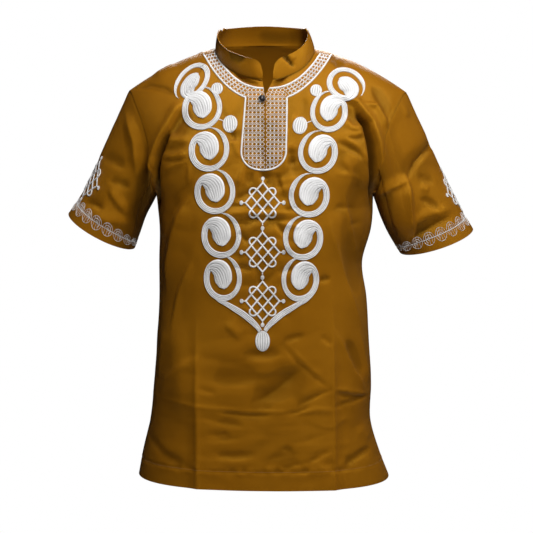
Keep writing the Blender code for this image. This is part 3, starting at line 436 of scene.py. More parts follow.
foldScale = {"soft": 1.5, "sharp": 2.0, "ridge": 2.0, "lap": 1.45, "deep": 1.0}
# painted shade in the hollows of folds: the lift that makes a full step, the darkest shallow tone, how much darker
# deep ones get, and from what depth over what reach
foldShade = {"height": 0.007, "darkest": 0.30, "deeper": 0.3, "deepFrom": 0.0014, "deepReach": 0.011}
frontFolds = [
    # the broad folds of the form
    ("soft", 18, -2.8, 0, 160, -180, 135, -350),
    ("soft", 24, 4, 0, -160, -420, -120, -640),
    ("ridge", 40, -3.4, 0, 66, -520, 40, -541, 8, -566, -30, -586),
    # from the left armpit
    ("lap", 10.5, 5.2, 0.5, -133.5, -95, -150, -124, -162, -144,
     -171, -163, -180, -184, -187, -204, -190, -225),
    ("deep", 4.2, -20, 0, -158, -143, -170, -166, -177, -184, -180, -206, -179.5, -228, -178, -262),
    ("soft", 11, -3.4, 0, -122, -106, -142, -132, -158, -160),
    ("sharp", 4.2, -1.6, -0.3, -218, -70, -190, -63.6, -165, -71, -140, -87),
    ("soft", 6, 1.3, 0.2, -172, -151, -139, -156, -112, -160),
    ("soft", 6, -1.6, 0.2, -176, -175, -144, -172, -118, -165),
    ("sharp", 4.5, 1.3, 0.2, -170, -186.5, -149, -185, -120, -180),
    ("sharp", 3, -1.4, 0.3, -172, -192, -149, -190.5, -124, -189),
    ("sharp", 3.4, 0.8, 0.2, -172, -210, -149, -197, -118, -192),
    ("soft", 5, 1.2, 0.2, -122, -192, -123.5, -232),
    ("ridge", 20, 4, 0.3, -112, -238, -131, -263, -142, -285.5, -150, -314, -159, -360, -164, -420),
    ("ridge", 10, 2, 0.4, -114, -340, -142, -407, -155, -475),
    ("soft", 9, 2.4, 0.2, -100, -502, -136, -529, -160, -549.5, -180, -585),
    ("soft", 7, 1.6, 0.2, -163, -460, -172, -510, -178, -555),
    # from the right armpit
    ("lap", 10, 5.2, -0.5, 124, -88, 147, -96, 157, -109, 168, -124,
     178, -143.7, 185, -163.5, 188, -188, 190, -225),
    ("deep", 5.2, -22, 0, 150, -112, 166.7, -130.5, 173, -155, 178, -188, 180, -221, 180.5, -262),
    ("soft", 7.5, -3.4, 0, 124, -99, 139, -117.5, 155, -137),
    ("sharp", 4.6, 1.7, 0.3, 128, -122, 139, -138, 160, -139),
    ("sharp", 4.2, 1.3, -0.2, 126, -146, 146, -148, 166, -142),
    ("sharp", 3.2, -1.6, 0.2, 130, -153.5, 149, -156, 168, -152),
    ("soft", 5.8, -2.4, 0.2, 110, -159, 136, -169, 152, -178, 167, -192),
    ("sharp", 4.5, 1.6, 0.2, 120, -151, 146, -165.5, 162, -181.5, 173, -204),
    ("sharp", 3.4, 0.9, 0.2, 124, -183, 144, -213.5, 170, -232),
    ("sharp", 3.2, 0.6, 0.2, 110, -210, 128, -214, 142, -214),
    ("sharp", 3.2, -0.8, 0.2, 110, -266, 130, -265.5, 152, -266),
    ("sharp", 3.2, -0.9, 0.2, 138, -294, 162, -291),
    ("soft", 8.8, -3.2, 0, 172, -64, 186.5, -81, 198, -102.4, 207, -130),
    ("ridge", 8.5, 3, -0.2, 150, -97, 183, -99, 195, -119, 204, -146),
    ("sharp", 5, 1.7, -0.3, 95, -258, 109, -309.5, 125, -362, 147, -426, 174, -500),
    ("sharp", 4.6, 1.7, -0.3, 127, -240, 141, -293.5, 157, -362),
    ("soft", 14, -2.4, 0, 150, -290, 140, -350, 150, -420),
    ("sharp", 4.8, 2.2, -0.3, 108, -452, 128, -493.5, 139, -517.5, 157, -549.5, 170, -580),
    ("soft", 9, -3, 0, 132, -476, 150, -520, 162, -556),
    ("sharp", 4.5, 1.6, -0.3, 152, -455, 162, -493.5, 170, -533.5, 173, -575),
    # the crossing creases low on the right
    ("sharp", 3.4, -1.1, -0.3, 26, -482, 48, -510, 72, -532, 96, -553, 116, -567),
    ("sharp", 3.2, 0.6, -0.3, 36, -482, 56, -507, 80, -530, 106, -553),
    ("sharp", 3.6, -1.5, 0.3, 48, -589, 80, -573, 96, -566, 116, -560),
    ("sharp", 3.4, 1.6, 0.2, 104, -559, 136, -567, 152, -572, 178, -579),
    ("sharp", 3.6, -1.4, 0.3, 110, -568, 142, -576, 174, -582),
    ("sharp", 3.4, -1.3, 0.2, 104, -592, 136, -586, 176, -579),
    ("sharp", 3.4, 0.7, 0.2, 70, -612, 96, -621.5, 110, -621.5, 128, -613.5, 142, -602),
    # ironed creases
    ("ridge", 34, 2.6, 0.4, -114, -420, -110, -560, -109, -900),
    ("ridge", 34, 3, -0.4, 110, -380, 110, -560, 114, -900),
    ("sharp", 3.2, 0.9, 0, -112, -440, -109, -585, -109, -800),
    ("sharp", 3.2, 0.9, 0, 110, -400, 110, -560, 113, -800),
    ("sharp", 4, 1.1, -0.3, -220, -578, -148, -583, -112, -588.5, -56, -592.5,
     -16, -595, 32, -594.5, 70, -589.5, 125, -592),
    ("sharp", 4.8, -1.6, 0.2, -85, -596, -40, -599.5, -16, -600.5, 25, -598.5),
    ("sharp", 3.6, -1.3, 0.2, 26, -599, 56, -594, 82, -587),
    ("sharp", 3.4, 1, 0.2, 44, -603, 64, -596.5, 82, -594, 118, -595),
    ("soft", 13, 1.4, 0, -10, -582, 60, -578),
    # shallow waves across the lower part
    ("soft", 6, -1, 0.2, -108, -606, -70, -612, -28, -619),
    ("soft", 5, -1, 0.2, -100, -634, -52, -631),
    ("soft", 5, -1, 0.2, -112, -560, -76, -567),
    ("soft", 15, -1.8, 0.2, -106, -542, -50, -536, 6, -531),
    ("soft", 9, -1.4, 0.2, -46, -500, -4, -505, 36, -500),
    ("soft", 6, -1, 0.2, -94, -660, -50, -668, -12, -664),
    ("soft", 5, -0.9, 0.2, 0, -671, 58, -660),
    ("soft", 5, -1, 0.2, 26, -653, 46, -660),
    ("soft", 6, -1.6, 0.2, 68, -677, 108, -660),
    ("soft", 5, -0.8, 0.2, 58, -642, 104, -634),
    ("soft", 8, -1.4, 0.2, -205, -640, -166, -672, -120, -690),
    ("soft", 6, -2.2, 0.2, 122, -688, 150, -676, 182, -662),
    ("soft", 9, 1.4, 0.2, 150, -630, 180, -655),
    ("soft", 8, 1.6, 0.3, -66, -450, -35, -480),
    ("soft", 5, -1.2, 0.2, 26, -482, 67, -470),
    ("sharp", 4, -1.2, 0.2, 88, -473, 110, -490),
    # from the end of the slit, and beside the bib
    ("sharp", 4.5, -2.2, 0.2, 1, -207, 4, -236),
    ("sharp", 5, -1.8, 0.3, 38, -184, 50, -220),
    ("sharp", 5, 1.6, 0.2, 24, -210, 34, -250),
    ("sharp", 4.4, 1.8, -0.3, -30, -190, -44, -235),
    ("sharp", 4, -1.4, -0.3, -20, -206, -25, -232),
    ("sharp", 4.5, 1.4, 0.2, -55, -150, -40, -190),
    ("soft", 5, -1.4, 0.2, -80, -84, -65, -126),
    ("soft", 5.5, -1.4, 0.2, 64, -86, 62, -132),
    ("soft", 5, 1.2, 0.2, 46, -110, 50, -160),
    ("sharp", 4, -1.4, 0.2, -64, -265, -26, -262),
    ("sharp", 4.4, 1.4, 0.2, -66, -275, -24, -280),
    ("sharp", 4, -1.4, 0.2, -60, -288, -20, -293),
    ("sharp", 4.4, -1.4, 0.2, 24, -272, 62, -264),
    ("sharp", 4.4, 1.4, 0.2, 20, -290, 60, -298),
    ("sharp", 4.4, -1.3, 0.2, -50, -360, -18, -368),
    ("sharp", 4.4, -1.3, 0.2, 20, -372, 50, -362),
    ("sharp", 4.4, 1.2, 0.2, -40, -425, -18, -436),
    ("sharp", 5, -2.4, -0.3, -60, -280, -30, -283.5, 4, -285, 34, -285, 58, -283),
    ("ridge", 8, 1.8, 0.3, -58, -272, -20, -274.5, 20, -276, 50, -274),
    ("sharp", 4, -2.8, 0.2, -54.5, -142, -49, -162),
    ("sharp", 4.6, -3, 0.3, 39, -168, 46, -203),
    ("sharp", 3.6, -2.8, 0.2, -4.5, -202, -3, -226),
    ("sharp", 4.4, -2.4, 0.3, 15, -286, 34, -314),
    ("sharp", 4.4, -2.4, 0.3, -45, -303, -25, -325),
    ("sharp", 6, -1.6, 0.3, -15, -352, -6, -400),
    ("sharp", 4, -2, 0.2, 86, -385, 108, -380),
    ("sharp", 5, -2, 0.3, 18, -208, 26, -242),
    ("sharp", 4.6, -1.8, 0.3, -20, -236, -50, -256),
    # between the collar and the neck band
    ("sharp", 3.6, -3.4, 0.2, -52, -46, -30, -60, -4, -70),
    ("sharp", 3.4, 1.4, 0.2, -36, -48, -18, -60, 0, -66),
    ("sharp", 3, -2.8, 0.2, -26, -52, -2, -62),
    ("sharp", 3.6, -3.4, 0.2, 8, -72, 28, -58, 40, -44),
    ("sharp", 3.2, 1.4, 0.2, 8, -66, 26, -50),
    ("sharp", 4, -1.4, 0.2, 54, -40, 70, -16),
    # over the shoulders
    ("soft", 10, -2.4, 0.2, 106, -10, 132, -40),
    ("soft", 12, 1.8, 0.2, -145, -26, -190, -52),
]

backFolds = [
    # from the armholes and over the shoulder blades
    ("sharp", 9, -2.4, 0.35, -205, -100, -175, -135, -130, -150),
    ("sharp", 9, -2.2, -0.35, 210, -95, 172, -126, 118, -138),
    ("ridge", 16, -2.8, 0.4, -190, -175, -150, -200, -100, -262),
    ("ridge", 16, -3, -0.4, 192, -180, 150, -212, 96, -285),
    ("ridge", 12, 2.4, 0.4, -186, -215, -150, -262, -128, -330),
    ("ridge", 12, 2.6, -0.4, 188, -220, 155, -270, 137, -345),
    ("soft", 10, -4, -0.4, -185, -150, -160, -220, -172, -300),
    ("soft", 10, -4.2, 0.4, 188, -150, 165, -225, 176, -310),
    ("ridge", 8, 1.2, 0.3, -120, -45, -165, -85, -200, -105),
    ("ridge", 8, 1.4, -0.3, 110, -50, 160, -80, 204, -98),
    # below the collar
    ("soft", 10, -1.2, 0.3, -70, -20, -55, -60, -30, -85),
    ("soft", 10, -1.2, -0.3, 74, -18, 62, -56, 36, -88),
    ("soft", 9, -1, 0.3, -40, -50, 10, -64, 60, -52),
    # across the small of the back
    ("ridge", 12, 2.2, 0.45, -165, -330, -120, -385, -40, -412),
    ("ridge", 12, 2.4, -0.45, 170, -350, 120, -415, 45, -448),
    ("sharp", 6, -1.2, 0.3, -150, -300, -85, -338, -15, -350),
    ("sharp", 6, -1.2, -0.3, 155, -285, 90, -326, 20, -338),
    ("sharp", 6, -1, 0.2, -60, -372, 10, -384, 80, -374),
    # pressed creases down the back and across it
    ("ridge", 30, 2.2, 0, -108, -380, -110, -560, -108, -722),
    ("sharp", 3, 0.6, 0, -108, -380, -110, -560, -108, -722),
    ("ridge", 30, 2.4, 0, 112, -350, 112, -560, 114, -722),
    ("sharp", 3, 0.6, 0, 112, -350, 112, -560, 114, -722),
    ("ridge", 24, 1.2, 0, 2, -180, 0, -420, 3, -722),
    ("sharp", 3, 0.5, 0, 2, -210, 0, -420, 3, -700),
    ("sharp", 5, 0.8, -0.4, -190, -590, -80, -598, 10, -602, 100, -597, 180, -588),
    ("ridge", 15, -1, 0, -190, -578, -80, -586, 10, -590, 100, -585, 180, -576),
    # lower down
    ("ridge", 10, 2, -0.4, -170, -500, -135, -560, -120, -640),
    ("ridge", 10, 2.2, 0.4, 172, -480, 140, -545, 128, -640),
    ("sharp", 6, -1.2, 0.2, -90, -640, -30, -655, 50, -645),
    ("sharp", 6, -1.2, 0.2, 30, -500, 70, -520, 105, -560),
    ("ridge", 7, 1.4, 0.2, -80, -470, -40, -505, -20, -560),
]

sleeveFolds = {
    # the side of the sleeve that faces the front, then the side that faces the back
    (1, -1): [
        ("ridge", 17, -2.4, -0.5, 306, -142, 275.5, -169.5, 262, -181,
         250.5, -193, 244, -204.5, 237, -218, 230, -230),
        ("sharp", 3, -1.1, 0, 300, -147, 275.5, -169.5, 262, -181,
         250.5, -193, 244, -204.5, 237, -218, 231, -228),
        ("ridge", 16, 2.4, -0.5, 243, -219, 232, -224.5, 217, -233, 205.5, -238, 182, -248),
        ("sharp", 2.8, -0.8, 0, 240, -222.5, 217, -235, 205.5, -240, 186, -249),
        ("ridge", 22, 6, -0.55, 233, -205, 240, -254.5, 245, -288, 251, -330),
        ("sharp", 8, -3.6, 0.3, 238, -322, 262, -308, 287, -294, 318, -280),
        ("soft", 8, 2.6, 0.2, 242, -300, 267, -281, 292, -274, 320, -270),
        ("soft", 6, -2.4, 0.2, 252, -250, 275.5, -259.5, 300, -279),
        ("soft", 6, -1.6, 0.2, 252, -211, 262, -218, 284, -227),
        ("soft", 6, 1.4, 0.2, 255, -232, 275, -241),
        ("soft", 6, 1.6, 0.2, 225, -90, 240, -120),
    ],
    (-1, -1): [
        ("soft", 10, -1.6, 0.3, -280, -180, -252, -190, -226, -206),
        ("soft", 8, -1.4, 0.3, -265, -222, -243, -226, -220, -236),
        ("soft", 8, 2.2, 0.35, -262, -232, -247, -256, -228, -280),
        ("sharp", 6, -1.8, 0.3, -306, -258, -286, -262, -266, -272),
        ("soft", 10, 2, 0.3, -296, -276, -262, -290, -222, -292),
        ("ridge", 20, 2.6, 0.2, -235, -100, -216, -160, -212, -220),
        ("soft", 10, -3, -0.2, -196, -190, -200, -250, -212, -310),
    ],
    (1, 1): [
        ("ridge", 12, -1.6, 0.5, 330, -250, 290, -236, 245, -240),
        ("ridge", 12, 1.6, 0.5, 300, -190, 262, -196, 225, -220),
        ("sharp", 7, 1, 0.3, 320, -276, 280, -282, 246, -300),
        ("soft", 11, -4.6, 0.2, 214, -180, 222, -250, 236, -320),
        ("soft", 10, -3, 0.2, 270, -130, 240, -160),
    ],
    (-1, 1): [
        ("ridge", 12, -1.8, 0.5, -318, -236, -280, -226, -236, -236),
        ("ridge", 12, 1.5, 0.5, -290, -180, -252, -186, -216, -206),
        ("sharp", 7, 1, 0.3, -306, -262, -270, -268, -238, -290),
        ("soft", 11, -4.6, 0.2, -206, -180, -216, -250, -226, -310),
        ("soft", 10, -2.8, 0.2, -262, -110, -235, -140),
    ],
}

# Ripples: middle x and z, reach in x and z, waves per metre across and up, and height.
# A negative height makes crisp creases of that depth.

frontRipples = [
    (0, -0.24, 0.1, 0.11, 24, 20, -0.0019),
    (0, -0.33, 0.055, 0.16, 26, 44, -0.0014),
    (0.14, -0.2, 0.045, 0.11, 22, 26, -0.0017),
    (-0.14, -0.21, 0.045, 0.11, 20, 24, -0.0014),
    (0, -0.56, 0.18, 0.12, 9, 24, -0.0011),
    (0, -0.66, 0.19, 0.05, 12, 34, -0.0007),
    (0, -0.12, 0.11, 0.06, 24, 18, -0.0014),
    (0, -0.66, 0.18, 0.06, 14, 70, 0.0009),
    (0, -0.54, 0.14, 0.06, 12, 55, 0.0008),
    (0, -0.62, 0.2, 0.09, 30, 120, 0.0005),
    (0, -0.69, 0.23, 0.008, 80, 90, 0.0026),
    (0.12, -0.684, 0.07, 0.012, 60, 70, 0.003),
    (0, -0.3, 0.055, 0.15, 30, 60, 0.001),
    (-0.07, -0.24, 0.055, 0.17, 60, 60, 0.0006),
    (0.07, -0.24, 0.055, 0.17, 60, 60, 0.0006),
    (0.15, -0.3, 0.05, 0.12, 20, 30, 0.0008),
    (-0.15, -0.33, 0.05, 0.14, 18, 20, 0.0007),
    (0, -0.7, 0.2, 0.014, 50, 30, 0.0009),
    (0, -0.35, 0.25, 0.4, 7, 6, 0.0008),
]
backRipples = [
    (0, -0.28, 0.15, 0.14, 15, 18, -0.0012),
    (0, -0.6, 0.18, 0.1, 11, 22, -0.001),
    (0, -0.64, 0.18, 0.08, 10, 26, 0.0018),
    (0, -0.33, 0.14, 0.12, 11, 20, 0.002),
    (0, -0.1, 0.16, 0.06, 10, 22, 0.0014),
    (0, -0.7, 0.2, 0.016, 40, 30, 0.001),
    (0, -0.35, 0.25, 0.4, 7, 6, 0.0018),
]
sleeveRipples = [
    (0.27, -0.23, 0.08, 0.12, 14, 14, -0.0009),
    (-0.26, -0.22, 0.08, 0.12, 14, 12, -0.0006),
    (0.28, -0.23, 0.08, 0.12, 20, 22, 0.002),
    (-0.27, -0.22, 0.08, 0.12, 20, 22, 0.0018),
]


def foldLift(x, z, folds):
    # how far the folds push the cloth along its normal
    total = np.zeros_like(x)
    for kind, width, rise, lean, *line in folds:
        width, rise, line = width / 1000, rise / 1000, np.array(line).reshape(-1, 2) / 1000
        nearest, signed, share = np.full(x.shape, 1e9), np.zeros_like(x), np.zeros_like(x)
        before = 0.0
        for start, end in zip(line[:-1], line[1:]):
            length = np.linalg.norm(end - start)
            run = (end - start) / length
            along = np.clip((x - start[0]) * run[0] + (z - start[1]) * run[1], 0, length)
            offX, offZ = x - start[0] - run[0] * along, z - start[1] - run[1] * along
            away = np.hypot(offX, offZ)
            closer = away < nearest
            nearest = np.where(closer, away, nearest)
            signed = np.where(closer, run[0] * offZ - run[1] * offX, signed)
            share = np.where(closer, before + along, share)
            before += length
        toEnd = np.minimum(share, before - share) / before
        ends = smoothStep(0.25 + toEnd / 0.20 if kind in ("lap", "deep") else toEnd / 0.34)
        flank = width * (1 + lean * np.sign(signed)) * (1 if kind == "deep" else 0.6 + 0.4 * ends)
        if kind == "sharp":
            blunt = 0.15 * width
            profile = np.exp(-(np.sqrt(nearest**2 + blunt**2) - blunt) / flank)
        elif kind == "ridge":
            profile = np.maximum(1 - np.sqrt(nearest**2 + 1e-6) / flank, 0) ** 1.7
        elif kind == "lap":
            # cloth folded over: a ridge that ends in a crisp edge with a hollow beside it
            over = signed * np.sign(lean)
            low = 1.5 * bell(over / (0.30 * width)) - 0.5 * np.exp(-np.maximum(over, 0) / (1.6 * width))
            profile = np.where(over < 0, bell(nearest / width), low)
        else:
            profile = bell(nearest / flank)
        total += foldScale[kind] * rise * profile * ends
    return total


def foldTone(lift):
    # painted shade: raised folds stay light, hollows are painted darker, and the deepest ones the most
    shallow = np.clip(0.5 + lift / foldShade["height"], foldShade["darkest"], 1)
    return shallow - foldShade["deeper"] * smoothStep((-lift - foldShade["deepFrom"]) / foldShade["deepReach"])


def rippleLift(points, ripples):
    # soft uneven wrinkles, each in its own zone
    total = np.zeros(len(points))
    x, y, z = points.T
    for number, (midX, midZ, reachX, reachZ, wavesX, wavesZ, height) in enumerate(ripples):
        window = np.exp(-(((x - midX) / reachX) ** 2) - ((z - midZ) / reachZ) ** 2)
        for i in np.nonzero(window > 0.03)[0]:
            wave = noise.noise((x[i] * wavesX, y[i] * 9 + 7.3 * number, z[i] * wavesZ))
            total[i] += window[i] * (height * wave if height > 0 else height * (1 - 3 * abs(wave)))
    return total


def hemGroove(above, groove, swell):
    # a turned hem has a stitched groove at its top and is slightly thicker below
    return swell * smoothStep(-above / 0.003) - groove * bell(above / 0.0022)


def panelFaces(smooth, last, face):
    # the two middle columns are one below the slit, and two beside it
    rows, columns = smooth.shape[:2]
    merged = smooth[:, last, 2] <= body["slitEndZ"] if face < 0 else np.ones(rows, bool)
    index = np.arange(rows * columns).reshape(rows, columns)
    index[merged, last + 1] = index[merged, last]
    faces = np.concatenate([gridFaces(index[:, : last + 1]), gridFaces(index[:, last + 1 :])])
    used, renumbered = np.unique(faces, return_inverse=True)
    number = np.full(rows * columns, -1)
    number[used] = np.arange(len(used))
    faces = renumbered.reshape(faces.shape)
    return used, number[index], faces[:, ::-1] if face > 0 else faces


def panelShade(angles, upShare, face):
    # painted shade along the armhole seams, at the neck line, and a little below it in front
    seam, neck, below = body["shades"]
    atNeck = angles <= body["neckAngle"]
    seamLine = smoothStep((angles - 88.0) / 1.2) * (upShare > 0) * smoothStep(upShare / 0.2)
    neckLine = smoothStep((upShare - 0.96) / 0.03) * atNeck
    nearNeck = smoothStep((upShare - 0.86) / 0.06) * atNeck * (face < 0)
    return seam * seamLine + neck * neckLine + below * nearNeck


def buildPanel(face, grid, folds, ripples):
    neckColumns, sideColumns, lowRows, upRows = grid
    angles = evenAngles(neckColumns, sideColumns)
    blocks = panelPlaces(face, angles, lowRows, upRows)
    last = len(angles) - 1
    smooth = np.concatenate([blocks[-1][:, ::-1], blocks[1]], axis=1)
    rows, columns = smooth.shape[:2]
    # the cloth eases over the line between the armpits, and on the back below the neck
    nearRow = bell((np.arange(rows) - lowRows) / body["easeRows"])[:, None]
    fromSide = np.minimum(np.arange(columns), columns - 1 - np.arange(columns))[None, :]
    soften = nearRow * smoothStep(fromSide / 5)
    if face > 0:
        upward = (np.arange(rows)[:, None] - lowRows) / upRows
        below = smoothStep((upward - 0.35) / 0.2) * smoothStep((0.99 - upward) / 0.12)
        soften = np.maximum(soften, below * smoothStep(fromSide / 12))
    smooth[..., 1] = lerp(smooth[..., 1], blurGrid(smooth, body["easeTimes"])[..., 1], soften)
    used, index, faces = panelFaces(smooth, last, face)
    points = smooth.reshape(-1, 3)[used]
    # lengths of cloth across and up, for the weave
    across, up = runOf(smooth[lowRows // 2]), runOf(smooth[:, last // 2])[:, None]
    weave = np.stack(np.broadcast_arrays(across[None, :] - across[last], up, 0 * up), axis=-1)
    # folds fade out where two pieces have to meet
    allAngles = np.concatenate([angles[::-1], angles])[None, :]
    upShare = np.concatenate([np.zeros(lowRows + 1), np.arange(1, upRows + 1) / upRows])[:, None]
    sidePin = lerp(smoothStep((90 - allAngles) / 9), 1.0, smoothStep(upShare / 0.14))
    pin = (sidePin * smoothStep((1 - upShare) / 0.06)).reshape(-1)[used]
    x, z = points[:, 0], points[:, 2]
    lift = foldLift(x, z, folds) + rippleLift(points, ripples)
    lift += hemGroove(z + body["hemTilt"] * x - body["sections"][-1][0] - body["hemDepth"], *body["hemGroove"])
    lift *= pin
    # the seams lie a little lower than the cloth beside them
    seamDip = body["seamDip"] * bell((90 - allAngles) / 1.1) * np.ones_like(upShare)
    lift -= seamDip.reshape(-1)[used] * smoothStep(pin)
    points = points + vertexNormals(points, faces) * lift[:, None]
    # painted shade of the folds, the seams and the neck line
    tone = foldTone(lift) * (1 - panelShade(allAngles, upShare, face).reshape(-1)[used])
    if face < 0:
        # the cloth between the threads of the bib is in their shade
        x, z = points[:, 0], points[:, 2]
        shade, half, bottom, top = body["bibShade"]
        beside = smoothStep((half - np.abs(x - axisAt(z))) / 0.003)
        tone -= shade * beside * smoothStep((z - bottom) / 0.006) * smoothStep((top - z) / 0.012)
    return {
        "points": points, "faces": faces, "index": index, "weave": weave.reshape(-1, 3)[used], "tone": tone,
        "normals": vertexNormals(points, faces), "lowRows": lowRows, "last": last, "neckColumns": neckColumns,
    }


# Sleeves

sleeve = {
    "rows": 78,
    # x and z of the outer and the inner end of each cuff
    "cuffs": {-1: ((-0.334, -0.276), (-0.2235, -0.3370)), 1: ((0.3545, -0.3025), (0.2315, -0.345))},
    "halfDepth": 0.055,
    "back": 0.012,
    "tilt": 12,
    "hollow": {-1: 0.006, 1: 0.004},
    "belly": {-1: -0.002, 1: 0.005},
    "hemDepth": 0.020,
    "hemGroove": (0.0007, 0.0004),
    "seamStep": 0.0006,
    "seamShade": 0.8,
    "stitchesUp": 0.0172,
    # how much painted shade darkens the inner side that turns toward the body
    "innerShade": 0.44,
}


def buildSleeve(front, back, side):
    # from the ring of the armhole to the rim of the cuff
    edge = 0 if side < 0 else -1
    up = front["index"][front["lowRows"]:, edge]
    down = back["index"][back["lowRows"]:, edge][::-1][1:-1]
    ring, ringNormals = (np.concatenate([front[key][up], back[key][down]]) for key in ("points", "normals"))
    count, upCount = len(ring), len(up)
    outer, inner = (np.array([x, sleeve["back"], z]) for x, z in sleeve["cuffs"][side])
    across = unit(outer - inner)
    downward = np.array([across[2], 0.0, -across[0]]) * side
    tilt = math.radians(sleeve["tilt"])
    forward = np.array([0.0, -1.0, 0.0]) * math.cos(tilt) + downward * math.sin(tilt)
    half = np.linalg.norm(outer - inner) / 2
    k = np.arange(count)
    share = np.where(k < upCount, k / (upCount - 1), 1 + (k - upCount + 1) / (count - upCount + 1))
    turn = (math.pi * (1 - share))[:, None]
    rim = (outer + inner) / 2 + across * half * np.cos(turn) + forward * sleeve["halfDepth"] * np.sin(turn)
    middle = (rim.max(axis=0) + rim.min(axis=0)) / 2
    reach = unit(rim[upCount - 1] - rim[0])
    layers, inwards = [], []
    for s in np.linspace(0, 1, sleeve["rows"] + 1):
        layer = lerp(ring, rim, s)
        outward = layer - lerp(ring.mean(axis=0), middle, s)
        outward = unit(outward - downward * (outward @ downward)[:, None])
        inwards.append(np.clip(-outward @ reach, 0, 1))
        # hollow along the outer line, and a fuller or flatter inner side
        bow = sleeve["hollow"][side] * math.sin(math.pi * s**1.8) * np.clip(outward @ reach, 0, 1)
        bow = bow - sleeve["belly"][side] * math.sin(math.pi * s) * inwards[-1]
        layers.append(layer - outward * bow[:, None])
    rows, points = len(layers), np.concatenate(layers)
    faces = tubeFaces(rows, count)
    if side > 0:
        faces = faces[:, ::-1]
    normals = vertexNormals(points, faces)
    facing = smoothStep(0.5 - normals[:, 1] * 1.6)
    x, z = points[:, 0], points[:, 2]
    lift = foldLift(x, z, sleeveFolds[(side, -1)]) * facing
    lift += foldLift(x, z, sleeveFolds[(side, 1)]) * (1 - facing)
    lift += rippleLift(points, sleeveRipples)
    length = np.linalg.norm(rim - ring, axis=1).mean()
    s = np.repeat(np.linspace(0, 1, rows), count)
    fromSeam = s * length
    lift *= smoothStep(fromSeam / 0.022) * (0.25 + 0.75 * smoothStep((length - fromSeam) / 0.03))
    lift += hemGroove(length * (1 - s) - sleeve["hemDepth"], *sleeve["hemGroove"])
    lift += sleeve["seamStep"] * smoothStep(fromSeam / 0.006) * (1 - smoothStep(fromSeam / 0.020))
    # painted shade on the seam, and on the inner side that turns toward the body
    tone = foldTone(lift) * (1 - sleeve["seamShade"] * bell(fromSeam / 0.0025))
    tone -= sleeve["innerShade"] * np.concatenate(inwards) ** 1.3
    points = points + normals * lift[:, None]
    run = runOf(rim)
    made = vertexNormals(points, faces)
    made[:count] = unit(made[:count] + ringNormals)
    return {
        "points": points, "faces": faces, "normals": made, "tone": tone, "side": side,
        "weave": np.stack([np.tile(run, rows), fromSeam, 0 * fromSeam], axis=1),
        "upCount": upCount, "count": count, "rows": rows, "length": length,
        "run": run, "round": run[-1] + np.linalg.norm(rim[0] - rim[-1]),
    }


# Collar

collar = {
    "height": 0.034,
    "leanIn": 0.014,
    "frontLean": 0.10,
    "leftLean": 0.42,
    "corner": 0.016,
    "endShare": 0.42,
    "bow": 0.0012,
    "unevenness": 0.0009,
    "footGroove": 0.0009,
    # how much darker it all is, and the painted shade on its left end and in the groove at its foot
    "shades": (0.04, 0.30, 0.6),
    "rows": 20,
    "columns": 190,
    "thickness": 0.0016,
    "crease": [("sharp", 3.4, -3.4, 0.5, 25, -14, 32, -22, 42, -34, 50, -41)],
    "folds": [
        ("soft", 5, 1.6, 0.3, 36, -16, 48, -30),
        ("soft", 8, -1.4, 0.3, -30, -30, -60, -14),
        ("soft", 5, 1, 0.2, 34, -34, 50, -30),
    ],
}


def buildCollar(front, back):
    # along the neck from the right of the slit, round the back, to the left of it
    top, last, neck = front["index"][-1], front["last"], front["neckColumns"]
    right, left = top[last + 1 : last + neck + 2], top[last - neck : last + 1]
    top, last, neck = back["index"][-1], back["last"], back["neckColumns"]
    around = np.concatenate([top[last + 2 : last + neck + 1][::-1], top[last - neck + 1 : last + 1][::-1]])
    base = np.concatenate([front["points"][right], back["points"][around], front["points"][left]])
    baseRun = runOf(base)
    run = np.linspace(0, baseRun[-1], collar["columns"])
    base = np.stack([smoothTable(baseRun, base[:, k], run) for k in range(3)], axis=1)
    toEnd = np.minimum(run, run[-1] - run)
    middleY = (base[:, 1].max() + base[:, 1].min()) / 2
    inward = unit(np.stack([-base[:, 0], middleY - base[:, 1], 0 * base[:, 0]], axis=1))
    frontness = np.clip(-base[:, 1] / abs(base[:, 1].min()), 0, 1)[:, None]
    lean = lerp(collar["leanIn"] / collar["height"], collar["frontLean"], frontness)
    lean -= collar["leftLean"] * frontness * smoothStep(-base[:, 0] / 0.02)[:, None]
    upward = unit(np.array([0.0, 0.0, 1.0]) + inward * lean)
    closing = np.clip(1 - toEnd / collar["corner"], 0, 1)
    height = collar["height"] * lerp(collar["endShare"], 1.0, np.sqrt(1 - closing**2))
    shares = np.linspace(0, 1, collar["rows"] + 1)
    points = np.concatenate([base + upward * (height * share)[:, None] for share in shares])
    count = len(base)
    faces = gridFaces(np.arange(len(points)).reshape(-1, count))
    lift = np.repeat(np.sin(np.pi * shares) * collar["bow"], count)
    x, y, z = points.T
    crease = foldLift(x, z, collar["crease"]) * (y < 0)
    lift += crease + foldLift(x, z, collar["folds"]) * (y < 0)
    lift += [collar["unevenness"] * noise.noise(point * 24) for point in points]
    # a groove along the seam at the foot
    foot = np.repeat(shares, count) * np.tile(height, len(shares))
    lift -= collar["footGroove"] * bell(foot / 0.0018)
    lift[:count] = 0.0
    overall, leftEndShade, groove = collar["shades"]
    # darker overall, with painted shade on the left end, in the crease and in the groove at the foot
    tone = foldTone(1.6 * lift) - overall - leftEndShade * smoothStep(-x / 0.02)
    tone += 60 * crease - groove * bell(foot / 0.0016)
    points = points + vertexNormals(points, faces) * lift[:, None]
    return {
        "points": points, "faces": faces, "normals": vertexNormals(points, faces), "tone": tone,
        "weave": np.stack([np.tile(run, len(shares)), foot, 0 * foot], axis=1),
    }


# Materials

